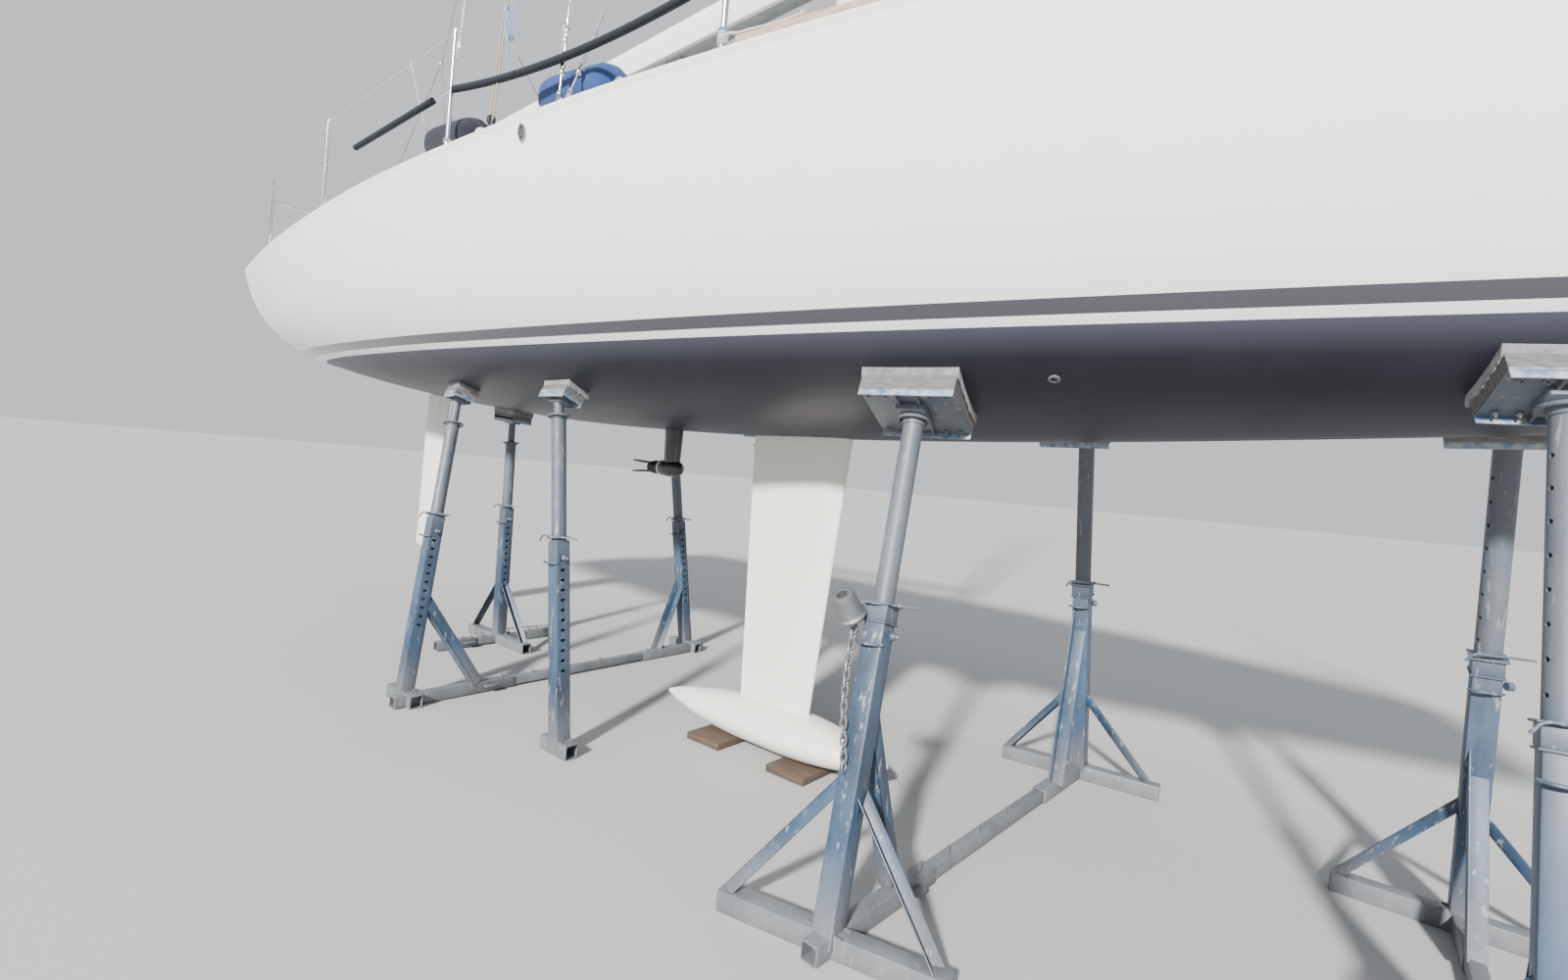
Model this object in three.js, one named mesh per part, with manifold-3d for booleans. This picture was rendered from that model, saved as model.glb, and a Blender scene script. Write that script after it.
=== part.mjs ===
// Sloop-rigged sailing yacht, stored ashore on her keel with adjustable props under the hull.
// Millimetres. +X points to the bow, +Y to port and +Z up. The origin is on the ground, under the
// middle of the hull's length.

import * as THREE from 'three';
import { mergeVertices } from 'three/addons/utils/BufferGeometryUtils.js';
import Module from 'manifold-3d';

const wasm = await Module();
wasm.setup();

// Clearances
const GAP = 0.3;
const RUN = 6;

// Hull: one row for each station, from the transom to the stem
const HULL_STATIONS = [
  // x, sheer half-breadth, sheer height, height of the bottom, fullness of the bilge
  [-5250, 1323, 3020, 2254, 0.81],
  [-4200, 1460, 3034, 2105, 0.81],
  [-3000, 1560, 3052, 1975, 0.81],
  [-1630, 1600, 3077, 1879, 0.81],
  [0, 1504, 3112, 1838, 0.81],
  [1500, 1283, 3148, 1862, 0.81],
  [3000, 949, 3192, 1936, 0.72],
  [4200, 560, 3245, 2030, 0.55],
  [4800, 285, 3280, 2090, 0.45],
  [5250, 25, 3310, 2180, 0.3],
];
const HULL_RINGS = 22;
const SECTION_STEPS = 9;
const STERN_X = -5250;
const STEM_X = 5250;
const STEM_RAKE = 215;
const STEM_RAKE_FROM = 3200;
const HULL_WALL = 80;
const PAINT_LINE = 2190;
const SALOON_SOLE = { aft: -450, front: 1650, half: 550, z: 2020 };

// Deck
const DECK_EDGE = 35;
const DECK_CAMBER = 70;
const MAX_HALF = 1600;

// Coachroof: x, half-breadth at the deck, height of its top at the middle
const ROOF_STATIONS = [
  [-1650, 900, 3505],
  [-700, 885, 3510],
  [300, 830, 3510],
  [1100, 740, 3480],
  [1800, 610, 3410],
  [2500, 420, 3300],
];
const ROOF_WALL = 45;
const ROOF_AFT = -1650;
const ROOF_FRONT = 2500;
const ROOF_INNER_FRONT = 2100;
const WINDOWS = [
  // name, aft end, forward end
  ['aft', -1250, -400],
  ['forward', -280, 600],
];
const WINDOW_LOW = 3262;
const WINDOW_HIGH = 3400;
const PANE = 10;

// Companionway
const WAY_HALF = 310;
const WAY_SILL = 3060;
const WAY_FRONT = -1080;
const SLIDE_TRAVEL_SPACE = 1260;
const RAIL_WIDTH = 45;
const RAIL_TOP = 3565;
const SLIDE_THICK = 38;

// Hatches: name, aft end, forward end, half-breadth, height of the frame's top
const HATCHES = [
  ['saloon_hatch', 620, 1040, 230, 3540],
  ['fore_hatch', 1480, 1900, 230, 3480],
];
const HATCH_FRAME = 40;
const HATCH_LID = 32;

// Cockpit
const COCKPIT = {
  aft: -4900, front: -1710, half: 930, wall: 70, floor: 2570, sole: 2620, seat: 3010, top: 3290,
};
const COAMING_HALF = 1150;
const SEAT = { aft: -3650, front: -1800, inner: 400 };
const STERN_SEAT = { aft: -5150, front: -4600, inner: 390 };
const LOCKER = { aft: -3300, front: -2200, inner: 480, outer: 850, floor: 2700, lid: 36, rim: 30 };
const GATE_HALF = 380;

// Anchor locker
const ANCHOR = { aft: 3900, front: 4350, half: 200, floor: 2960, rim: 35, tray: 35 };

// Keel
const FIN = {
  rootX: 222, rootChord: 720, tipX: 188, tipChord: 512, tipZ: 300, rootZ: 1990, thick: 0.13,
};
// Bulb: x, half-breadth, height of its top, height of its bottom
const BULB_STATIONS = [
  [-676, 15, 158, 130],
  [-560, 60, 196, 100],
  [-372, 112, 236, 68],
  [-100, 158, 276, 40],
  [180, 182, 290, 40],
  [450, 180, 280, 40],
  [664, 150, 252, 62],
  [830, 100, 220, 95],
  [930, 45, 188, 128],
  [960, 12, 170, 148],
];
const BULB_SIDES = 16;
const BOARD_TOP = 39.7;
const KEEL_BOARDS = [
  // name, aft end, forward end, half-breadth
  ['keel_board_aft', -265, -10, 230],
  ['keel_board_front', 345, 600, 225],
];

// Saildrive and propeller
const DRIVE = { x: -860, chord: 150, thick: 0.5, footZ: 1545, shaftZ: 1595, podFront: -755, podLength: 195 };
const BLADE = { length: 235, thick: 10, apart: 24, rootAft: 40, lean: 0.06 };

// Rudder
const RUDDER = {
  topX: -4110, rake: 0.1, topChord: 430, tipChord: 270, tipZ: 640, thick: 0.14, stock: 42, stockTop: 2560,
};
const RUDDER_TUBE = 72;

// Rig
const MAST = { x: 300, long: 100, wide: 62, foot: 3552, top: 17800, sides: 16 };
const SPREADERS = [
  // root height, half-span, sweep
  [8100, 1200, 560],
  [12500, 920, 430],
];
const HOUNDS_Z = 16400;
const TIP_GAP = 16;
const CHAIN = { x: -221, inset: 80 };
const LOWER_X = CHAIN.x + 73;
const WIRE = 7;
const FORESTAY = { x: 4960, foil: 18, drum: 85 };
const BACKSTAY_X = -5130;
const BOOM = { aft: -3900, z: 4575, high: 118, wide: 62, gooseneck: 158, front: 88, droop: 0.045 };
const PIN_HALF = 55;
const VANG_Z = 3690;
const VANG_HEAD_X = -1150;

// Rails
const RAIL_HEIGHT = 620;
const RAIL_TUBE = 13;
const RAIL_WIRE = 4;
const STANCHIONS_X = [-2800, -1064, 723, 2450];
const STANCHION_INSET = 45;
const RAIL_FRONT = 3850;
const RAIL_AFT = -4350;
const TOE_RAIL_AFT = 812;

// Helm
const WHEEL = { x: -3950, z: 3380, radius: 560, rim: 17, spokes: 5 };

// Fenders on the side deck: name, aft end, forward end, y, radius, lift above the deck
const FENDERS = [
  ['fender_blue', -540, -10, -1260, 120, 0.8],
  ['fender_navy', -1520, -990, -1385, 110, 1.7],
];

// Props. Uprights of one row share a ground beam, which lies aside of their feet. Rows that are not
// braced have a short foot and only the strut on the inner side.
const PROPS = [
  // name, form, then x, y of the foot, x, y of the head, turn of the foot, top of the inner strut
  ['cradle_bow', { aside: 0, footLength: 860, braced: true, head: 320, headWide: 200 },
    [3200, -800, 3130, -400, 0, 800], [3200, 800, 3130, 400, 0, 800]],
  ['cradle_mid', { aside: 0, footLength: 860, braced: true, head: 385, headWide: 340 },
    [1430, -1190, 1300, -645, 11, 800], [1585, 1160, 1540, 775, 6, 1050]],
  ['cradle_quarter_starboard', { footLength: 240, head: 300, headWide: 170 }, [-540, -930, -855, -855, 0, 0]],
  ['cradle_quarter_port', { footLength: 240, head: 300, headWide: 170 }, [-540, 930, -855, 855, 0, 0]],
  ['cradle_aft', { aside: 85, footLength: 330, head: 320, headWide: 180 },
    [-1790, -1200, -2170, -790, 0, 640], [-1815, 1220, -1950, 940, 0, 640]],
  ['cradle_stern', { aside: 0, footLength: 860, braced: true, head: 300, headWide: 170, lone: true },
    [-2800, 0, -2850, 0, 0, 0]],
];
const LONE_BEAM_HALF = 420;
const BEAM_STUB = 110;
const PROP_SIZE = {
  post: 88, tube: 41, foot: 80, postTop: 1150, strutZ: 560, strutReach: 390, strut: 50,
  innerReach: 420, flange: 112, band: 101, bandZ: 1000, neck: 62, rib: 10, ribDeep: 50, ribAside: 42,
};

// Materials
const paint = (name, color, roughness, metalness = 0) =>
  new THREE.MeshStandardMaterial({ name, color, roughness, metalness });
const GELCOAT = paint('gelcoat', 0xecedeb, 0.25);
const BOTTOM_PAINT = paint('bottom_paint', 0x4b4b55, 0.45);
const DECK_PAINT = paint('deck_paint', 0xe4e3dc, 0.55);
const KEEL_PAINT = paint('keel_paint', 0xe8e4de, 0.5);
const GLASS = paint('tinted_pane', 0x20262c, 0.1);
const ALLOY = paint('anodised_alloy', 0xc4c7ca, 0.35, 0.9);
const WHITE_ALLOY = paint('white_alloy', 0xe9e9e6, 0.3, 0.1);
const STEEL = paint('polished_steel', 0xc9ccd0, 0.15, 1);
const TEAK = paint('teak', 0xb9a091, 0.7);
const BOARD = paint('board', 0xa98c68, 0.8);
const PROP_PAINT = paint('prop_paint', 0x6e8ca5, 0.6, 0.3);
const DRIVE_PAINT = paint('drive_paint', 0x3a3c40, 0.35);
const ENGINE_PAINT = paint('engine_paint', 0x6f7275, 0.5, 0.4);
const BLUE_CLOTH = paint('blue_cloth', 0x3c5fa0, 0.9);
const NAVY_CLOTH = paint('navy_cloth', 0x1e2334, 0.9);

const yacht = new THREE.Group();

// Solids

function solidOf(geometry) {
  const bare = new THREE.BufferGeometry();
  bare.setAttribute('position', geometry.getAttribute('position').clone());
  if (geometry.index) bare.setIndex(geometry.index.clone());
  const merged = mergeVertices(bare, 1e-3);
  const corners = merged.index.array;
  const kept = [];
  for (let i = 0; i < corners.length; i += 3) {
    const [a, b, c] = [corners[i], corners[i + 1], corners[i + 2]];
    if (a !== b && b !== c && c !== a) kept.push(a, b, c);
  }
  return new wasm.Manifold(new wasm.Mesh({
    numProp: 3,
    vertProperties: new Float32Array(merged.getAttribute('position').array),
    triVerts: new Uint32Array(kept),
  }));
}

function geometryOf(solid) {
  const mesh = solid.getMesh();
  const geometry = new THREE.BufferGeometry();
  geometry.setAttribute('position', new THREE.BufferAttribute(mesh.vertProperties, 3));
  geometry.setIndex(new THREE.BufferAttribute(mesh.triVerts, 1));
  geometry.computeVertexNormals();
  return geometry;
}

const joined = (...solids) => solids.reduce((sum, next) => sum.add(next));
const cut = (solid, ...tools) => tools.reduce((rest, tool) => rest.subtract(tool), solid);

function add(name, solid, material) {
  const mesh = new THREE.Mesh(geometryOf(solid), material);
  mesh.name = name;
  yacht.add(mesh);
}

function box(x0, x1, y0, y1, z0, z1) {
  const geometry = new THREE.BoxGeometry(x1 - x0, y1 - y0, z1 - z0);
  return solidOf(geometry.translate((x0 + x1) / 2, (y0 + y1) / 2, (z0 + z1) / 2));
}

function placedAlong(geometry, a, b) {
  const from = new THREE.Vector3(...a);
  const way = new THREE.Vector3(...b).sub(from);
  const upright = Math.abs(way.z) >= 0.999 * way.length();
  const side = upright ? new THREE.Vector3(1, 0, 0) : new THREE.Vector3(0, 0, 1);
  const z = way.clone().normalize();
  const x = side.cross(z).normalize();
  const y = z.clone().cross(x);
  const place = new THREE.Matrix4().makeBasis(x, y, z).setPosition(from.addScaledVector(way, 0.5));
  return solidOf(geometry.applyMatrix4(place));
}

const distance = (a, b) => Math.hypot(b[0] - a[0], b[1] - a[1], b[2] - a[2]);

function rod(a, b, radius, sides = 6) {
  const geometry = new THREE.CylinderGeometry(radius, radius, distance(a, b), sides);
  return placedAlong(geometry.rotateX(Math.PI / 2), a, b);
}

const beam = (a, b, wide, high) => placedAlong(new THREE.BoxGeometry(wide, high, distance(a, b)), a, b);

function ball(centre, radius, sides = 6) {
  return solidOf(new THREE.SphereGeometry(radius, sides, 4).translate(...centre));
}

// A bent tube: straight rods with a ball in each corner
function railing(points, radius, sides = 7) {
  let tube = rod(points[0], points[1], radius, sides);
  for (let i = 1; i < points.length - 1; i += 1) {
    tube = joined(tube, ball(points[i], radius * 1.15), rod(points[i], points[i + 1], radius, sides));
  }
  return tube;
}

// A profile of [radius, height] points turned about an upright axis
function turned(profile, centre, sides = 14) {
  const points = profile.map(([r, z]) => new THREE.Vector2(r, z));
  return solidOf(new THREE.LatheGeometry(points, sides).rotateX(Math.PI / 2).translate(...centre));
}

// Closed rings of [x, y, z] points, all with the same count, joined into one body with two caps.
// Whichever way the rings run, the faces end up pointing outwards.
function loft(rings) {
  const count = rings[0].length;
  const positions = rings.flat(2);
  const faces = [];
  for (let r = 0; r < rings.length - 1; r += 1) {
    for (let i = 0; i < count; i += 1) {
      const a = r * count + i;
      const b = r * count + ((i + 1) % count);
      faces.push(a, b, a + count, b, b + count, a + count);
    }
  }
  const last = (rings.length - 1) * count;
  for (let i = 1; i < count - 1; i += 1) {
    faces.push(0, i + 1, i);
    faces.push(last, last + i, last + i + 1);
  }
  const corner = (k) => new THREE.Vector3(...positions.slice(3 * k, 3 * k + 3));
  let volume = 0;
  for (let i = 0; i < faces.length; i += 3) {
    volume += corner(faces[i]).dot(corner(faces[i + 1]).cross(corner(faces[i + 2])));
  }
  const geometry = new THREE.BufferGeometry();
  geometry.setAttribute('position', new THREE.Float32BufferAttribute(positions, 3));
  geometry.setIndex(volume > 0 ? faces : faces.reverse());
  return solidOf(geometry);
}

// Smooth value of a table's column at x
function columnAt(table, x, column) {
  let i = 0;
  while (i < table.length - 2 && x > table[i + 1][0]) i += 1;
  const slope = (k) => {
    const low = table[Math.max(k - 1, 0)];
    const high = table[Math.min(k + 1, table.length - 1)];
    return (high[column] - low[column]) / (high[0] - low[0]);
  };
  const [a, b] = [table[i], table[i + 1]];
  const span = b[0] - a[0];
  const t = (x - a[0]) / span;
  return (2 * t ** 3 - 3 * t ** 2 + 1) * a[column] + (t ** 3 - 2 * t ** 2 + t) * span * slope(i)
    + (3 * t ** 2 - 2 * t ** 3) * b[column] + (t ** 3 - t ** 2) * span * slope(i + 1);
}

const mix = (a, b, t) => a + (b - a) * t;

// Hull form

const sheerHalf = (x) => columnAt(HULL_STATIONS, x, 1);
const sheerZ = (x) => columnAt(HULL_STATIONS, x, 2);
const bottomZ = (x) => columnAt(HULL_STATIONS, x, 3);
const fullness = (x) => columnAt(HULL_STATIONS, x, 4);

// Half a section as a curve from the middle of the bottom, t = 0, to the sheer, t = 1
function sectionPoint(x, t) {
  const [half, top, low, full] = [sheerHalf(x), sheerZ(x), bottomZ(x), fullness(x)];
  const depth = top - low;
  const controls = [
    [0, low],
    [half * mix(0.16, 0.66, full), low + depth * mix(0.1, 0.02, full)],
    [half * mix(0.62, 0.97, full), low + depth * mix(0.45, 0.16, full)],
    [half, top],
  ];
  const weights = [(1 - t) ** 3, 3 * t * (1 - t) ** 2, 3 * t ** 2 * (1 - t), t ** 3];
  return [0, 1].map((k) => controls.reduce((sum, point, i) => sum + weights[i] * point[k], 0));
}

function rakedX(x, z) {
  const reach = Math.max(0, (x - STEM_RAKE_FROM) / (STEM_X - STEM_RAKE_FROM));
  return x - STEM_RAKE * reach ** 3 * (sheerZ(x) - z) / (sheerZ(STEM_X) - bottomZ(STEM_X));
}

function bottomAt(x, y) {
  let [low, high] = [0, 1];
  for (let i = 0; i < 40; i += 1) {
    const middle = (low + high) / 2;
    if (sectionPoint(x, middle)[0] < Math.abs(y)) low = middle;
    else high = middle;
  }
  return sectionPoint(x, low)[1];
}

const hullXs = Array.from({ length: HULL_RINGS }, (_, i) => mix(STERN_X, STEM_X, i / (HULL_RINGS - 1)));

// The hull's outside, grown by a few tenths where a neighbour is cut to sit on it
function hullBody(grow = 0) {
  return loft(hullXs.map((x) => {
    const ring = [];
    for (let i = -SECTION_STEPS; i <= SECTION_STEPS; i += 1) {
      const [y, z] = sectionPoint(x, Math.abs(i) / SECTION_STEPS);
      const wide = y + (i === 0 ? 0 : grow);
      ring.push([rakedX(x, z), -Math.sign(i) * wide, z - grow]);
    }
    return ring;
  }));
}

// The space inside the hull's wall, open upwards
function hullSpace() {
  const [aft, front, count] = [STERN_X + HULL_WALL + 10, 4900, 21];
  return loft(Array.from({ length: count }, (_, k) => {
    const x = mix(aft, front, k / (count - 1));
    const ring = [];
    for (let i = -SECTION_STEPS; i <= SECTION_STEPS; i += 1) {
      const [y, z] = sectionPoint(x, Math.abs(i) / SECTION_STEPS);
      const narrow = y * (1 - HULL_WALL / sheerHalf(x));
      const lift = Math.abs(i) === SECTION_STEPS ? HULL_WALL : 0;
      ring.push([rakedX(x, z), -Math.sign(i) * narrow, z + HULL_WALL / 2 + lift]);
    }
    return ring;
  }));
}

// Deck form

function deckTop(x, y) {
  const half = sheerHalf(x);
  return sheerZ(x) + DECK_EDGE + DECK_CAMBER * (half / MAX_HALF) * (1 - (y / half) ** 2);
}

function deckRings(low, lift) {
  const across = [1, 0.75, 0.5, 0.25, 0, -0.25, -0.5, -0.75, -1];
  return hullXs.map((x) => {
    const half = sheerHalf(x);
    const base = low === null ? sheerZ(x) + GAP : low;
    const top = across.map((k) => [x, half * k, deckTop(x, half * k) + lift]);
    return [[x, -half, base], [x, half, base], ...top];
  });
}

const deckSlab = loft(deckRings(null, 0));
const underDeck = loft(deckRings(1000, GAP));
const onDeck = (solid) => cut(solid, underDeck);

// Coachroof form

const roofHalf = (x) => columnAt(ROOF_STATIONS, x, 1);
const roofTop = (x) => columnAt(ROOF_STATIONS, x, 2);
const ROOF_SECTION = [
  // share of the half-breadth lost to the slope, share of the height
  [0, -0.3],
  [0, 0],
  [0.06, 0.45],
  [0.12, 0.8],
  [0.2, 0.93],
  [0.55, 0.985],
  [1, 1],
];

function roofBody(aft, front, inset, low) {
  const count = 10;
  return loft(Array.from({ length: count }, (_, k) => {
    const x = mix(aft, front, k / (count - 1));
    const half = roofHalf(x) - inset;
    const base = deckTop(x, half);
    const high = roofTop(x) - inset - base;
    const level = (up) => (up < 0 ? base - low : base + high * up);
    const side = ROOF_SECTION.map(([lost, up]) => [half * (1 - lost), level(up)]);
    const starboard = side.slice(0, -1).map(([y, z]) => [x, -y, z]);
    const port = side.map(([y, z]) => [x, y, z]).reverse();
    return [...starboard, ...port];
  }));
}

// Foils

// Closed outline of a symmetric foil, nose at +x, as [x, y] about the quarter of its chord
function foil(chord, thick, count = 7) {
  const half = Array.from({ length: count + 1 }, (_, i) => {
    const s = (1 - Math.cos((Math.PI * i) / count)) / 2;
    const nose = 0.2969 * Math.sqrt(s) - 0.126 * s;
    const y = 5 * thick * (nose - 0.3516 * s ** 2 + 0.2843 * s ** 3 - 0.1015 * s ** 4);
    return [chord * (0.25 - s), chord * y];
  });
  half[count][1] = 3;
  const starboard = half.slice(1).map(([x, y]) => [x, -y]).reverse();
  return [...starboard, ...half];
}

// Upright blade between rows of [x of the quarter chord, z, chord]
function blade(rows, thick) {
  return loft(rows.map(([x, z, chord]) => foil(chord, thick).map(([u, v]) => [x + u, v, z])));
}

// Hull and what is let into it

const hullSkin = hullBody();
const overHull = hullBody(GAP);
const underHull = (solid) => cut(solid, overHull);
const stockAt = (z) => RUDDER.topX - (bottomZ(RUDDER.topX) - z) * RUDDER.rake;
const deckHalf = COCKPIT.half + COCKPIT.wall;
const cockpitRecess = box(COCKPIT.aft, COCKPIT.front, -deckHalf, deckHalf, COCKPIT.floor, 4000);
const sternGate = box(STERN_X - 100, COCKPIT.aft + 10, -GATE_HALF, GATE_HALF, COCKPIT.sole, 4000);
const stockLine = (low, high, radius, sides) =>
  rod([stockAt(low), 0, low], [stockAt(high), 0, high], radius, sides);
const stockHole = stockLine(1900, 2900, RUDDER.stock + 1, 24);
const saloonSole = box(SALOON_SOLE.aft, SALOON_SOLE.front, -SALOON_SOLE.half, SALOON_SOLE.half,
  SALOON_SOLE.z, 3000);
const LOW = 1000;
const FAR = 8000;

const layer = (low, high) => box(-FAR, FAR, -FAR, FAR, low, high);
add('hull_bottom', cut(hullSkin, layer(PAINT_LINE, FAR), saloonSole, stockHole), BOTTOM_PAINT);
const topsides = cut(hullSkin, layer(LOW, PAINT_LINE + GAP), hullSpace(), sternGate);
add('topsides_port', cut(topsides, box(-FAR, FAR, -FAR, GAP / 2, LOW, FAR)), GELCOAT);
add('topsides_starboard', cut(topsides, box(-FAR, FAR, -GAP / 2, FAR, LOW, FAR)), GELCOAT);
add('rudder_tube', cut(stockLine(PAINT_LINE - 60, COCKPIT.floor + 60, RUDDER_TUBE, 16), stockHole,
  layer(LOW, PAINT_LINE + GAP), layer(COCKPIT.floor - GAP, FAR)), GELCOAT);

// Deck and anchor locker

const roofInside = roofBody(ROOF_AFT + ROOF_WALL, ROOF_INNER_FRONT, ROOF_WALL, 200);
const anchorOpening = box(ANCHOR.aft, ANCHOR.front, -ANCHOR.half, ANCHOR.half, 3000, 4000);
const anchorBox = (grow, low) => box(ANCHOR.aft - grow, ANCHOR.front + grow,
  -ANCHOR.half - grow, ANCHOR.half + grow, low, 4000);

const wayNotch = box(COCKPIT.front - 10, ROOF_AFT + ROOF_WALL + 10, -WAY_HALF - 30, WAY_HALF + 30,
  WAY_SILL, 4000);

add('deck', cut(deckSlab, roofInside, cockpitRecess, sternGate, anchorOpening, wayNotch), DECK_PAINT);
add('anchor_locker', cut(anchorBox(ANCHOR.tray, ANCHOR.floor - ANCHOR.tray).intersect(hullSkin),
  anchorBox(-ANCHOR.rim, ANCHOR.floor)), GELCOAT);

// Coachroof with its windows, runners and hatch frames

function windowPrism(aft, front, inset) {
  const outline = new THREE.Shape();
  const [low, high, lean] = [WINDOW_LOW + inset, WINDOW_HIGH - inset, 60];
  outline.moveTo(aft + inset, low);
  outline.lineTo(front - inset, low);
  outline.lineTo(front - inset - lean, high);
  outline.lineTo(aft + inset + lean / 2, high);
  outline.closePath();
  const geometry = new THREE.ExtrudeGeometry(outline, { depth: 900, bevelEnabled: false });
  return geometry.rotateX(Math.PI / 2);
}

const windowCut = (aft, front, side, inset = 0) => {
  const geometry = windowPrism(aft, front, inset);
  return solidOf(geometry.translate(0, side > 0 ? 1300 : -400, 0));
};

const roofOutside = roofBody(ROOF_AFT, ROOF_FRONT, 0, 60);
const runner = (side) => box(ROOF_AFT + 20, ROOF_AFT + 20 + SLIDE_TRAVEL_SPACE,
  side * (WAY_HALF + 30) - RAIL_WIDTH / 2, side * (WAY_HALF + 30) + RAIL_WIDTH / 2, 3440, RAIL_TOP);
const hatchFrame = ([, aft, front, half, top]) => box(aft, front, -half, half, 3340, top);
const hatchHole = ([, aft, front, half]) =>
  box(aft + HATCH_FRAME, front - HATCH_FRAME, -half + HATCH_FRAME, half - HATCH_FRAME, 3200, 3800);
const mastStep = box(MAST.x - 190, MAST.x + 190, -120, 120, 3420, MAST.foot - GAP);

let coachroof = joined(roofOutside, runner(1), runner(-1), mastStep, ...HATCHES.map(hatchFrame));
coachroof = cut(coachroof, roofInside, underDeck, ...HATCHES.map(hatchHole));
coachroof = cut(coachroof,
  box(ROOF_AFT - 50, WAY_FRONT, -WAY_HALF, WAY_HALF, WAY_SILL + 40, RAIL_TOP + 50),
  ...WINDOWS.flatMap(([, aft, front]) => [windowCut(aft, front, 1), windowCut(aft, front, -1)]));
add('coachroof', coachroof, GELCOAT);

const roofSkin = cut(roofOutside, roofBody(ROOF_AFT + PANE, ROOF_FRONT - 100, PANE, 200));
for (const [side, name] of [[1, 'port'], [-1, 'starboard']]) {
  for (const [place, aft, front] of WINDOWS) {
    add(`window_${place}_${name}`, roofSkin.intersect(windowCut(aft, front, side, GAP)), GLASS);
  }
}

// Companionway slide and washboard

const slideLow = RAIL_TOP + 0.5;
const slideHalf = WAY_HALF + 55;
const slideLid = joined(
  box(ROOF_AFT - 10, WAY_FRONT + 40, -slideHalf, slideHalf, slideLow, slideLow + SLIDE_THICK),
  box(ROOF_AFT - 10, ROOF_AFT + 15, -slideHalf, slideHalf, slideLow + 10, slideLow + SLIDE_THICK + 22));
add('companionway_slide', slideLid, GELCOAT);
add('washboard', box(ROOF_AFT - 22, ROOF_AFT - GAP, -WAY_HALF - 25, WAY_HALF + 25,
  WAY_SILL + 12, RAIL_TOP - RUN), GLASS);

for (const [name, aft, front, half, top] of HATCHES) {
  add(name, box(aft - 8, front + 8, -half - 8, half + 8, top + GAP, top + HATCH_LID), GLASS);
}

// Cockpit: sole with the bridge deck, seats with their lockers, stern seats and coamings

function sideBox(side, x0, x1, inner, outer, low, high) {
  return box(x0, x1, Math.min(side * inner, side * outer), Math.max(side * inner, side * outer), low, high);
}

function lockerBox(side, inset, low, high) {
  return sideBox(side, LOCKER.aft + inset, LOCKER.front - inset,
    LOCKER.inner + inset, LOCKER.outer - inset, low, high);
}

const soleHalf = COCKPIT.half - GAP;
add('cockpit_sole', joined(
  box(COCKPIT.aft + GAP, COCKPIT.front - GAP, -soleHalf, soleHalf, COCKPIT.floor, COCKPIT.sole),
  box(STERN_SEAT.aft, COCKPIT.aft + 5, -GATE_HALF + GAP, GATE_HALF - GAP, COCKPIT.floor, COCKPIT.sole),
  box(SEAT.front + GAP, COCKPIT.front - GAP, -soleHalf, soleHalf, COCKPIT.floor, WAY_SILL)), DECK_PAINT);
for (const [side, name] of [[1, 'port'], [-1, 'starboard']]) {
  const low = COCKPIT.sole + GAP;
  const seat = cut(sideBox(side, SEAT.aft, SEAT.front, SEAT.inner, soleHalf, low, COCKPIT.seat),
    lockerBox(side, LOCKER.rim, LOCKER.floor, COCKPIT.seat + 50),
    lockerBox(side, 0, COCKPIT.seat - LOCKER.lid - GAP, COCKPIT.seat + 50));
  add(`seat_${name}`, seat, DECK_PAINT);
  const sternSeat = sideBox(side, STERN_SEAT.aft, STERN_SEAT.front, STERN_SEAT.inner, soleHalf,
    low, COCKPIT.seat);
  add(`stern_seat_${name}`, sternSeat, DECK_PAINT);
  const [aft, front] = [COCKPIT.aft + GAP, COCKPIT.front - GAP];
  const wall = sideBox(side, aft, front, COCKPIT.half, deckHalf - GAP, COCKPIT.floor, COCKPIT.top);
  const shelf = sideBox(side, aft, front, COCKPIT.half + 5, COAMING_HALF, 3000, COCKPIT.top);
  add(`coaming_${name}`, joined(wall, onDeck(shelf)), DECK_PAINT);
  add(`locker_lid_${name}`, lockerBox(side, RUN, COCKPIT.seat - LOCKER.lid, COCKPIT.seat), DECK_PAINT);
}

const anchorLid = deckSlab.intersect(box(ANCHOR.aft + RUN, ANCHOR.front - RUN,
  -ANCHOR.half + RUN, ANCHOR.half - RUN, 3000, 4000));
add('anchor_locker_lid', anchorLid, DECK_PAINT);

// Keel

const finRows = [
  [FIN.tipX + FIN.tipChord * 0.25, 160, FIN.tipChord],
  [FIN.tipX + FIN.tipChord * 0.25, FIN.tipZ, FIN.tipChord],
  [FIN.rootX + FIN.rootChord * 0.25, FIN.rootZ, FIN.rootChord],
];

function bulbBody(grow) {
  return loft(BULB_STATIONS.map(([x, half, top, low]) => {
    const [middle, high] = [(top + low) / 2, (top - low) / 2 + grow];
    return Array.from({ length: BULB_SIDES }, (_, i) => {
      const turn = (2 * Math.PI * i) / BULB_SIDES;
      return [x, (half + grow) * Math.cos(turn), middle + high * Math.sin(turn)];
    });
  }));
}

add('keel_fin', underHull(cut(blade(finRows, FIN.thick), bulbBody(GAP))), KEEL_PAINT);
add('keel_bulb', bulbBody(0), KEEL_PAINT);
for (const [name, aft, front, half] of KEEL_BOARDS) {
  add(name, cut(box(aft, front, -half, half, 0, BOARD_TOP), bulbBody(GAP)), BOARD);
}

// Saildrive leg, engine and propeller

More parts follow.
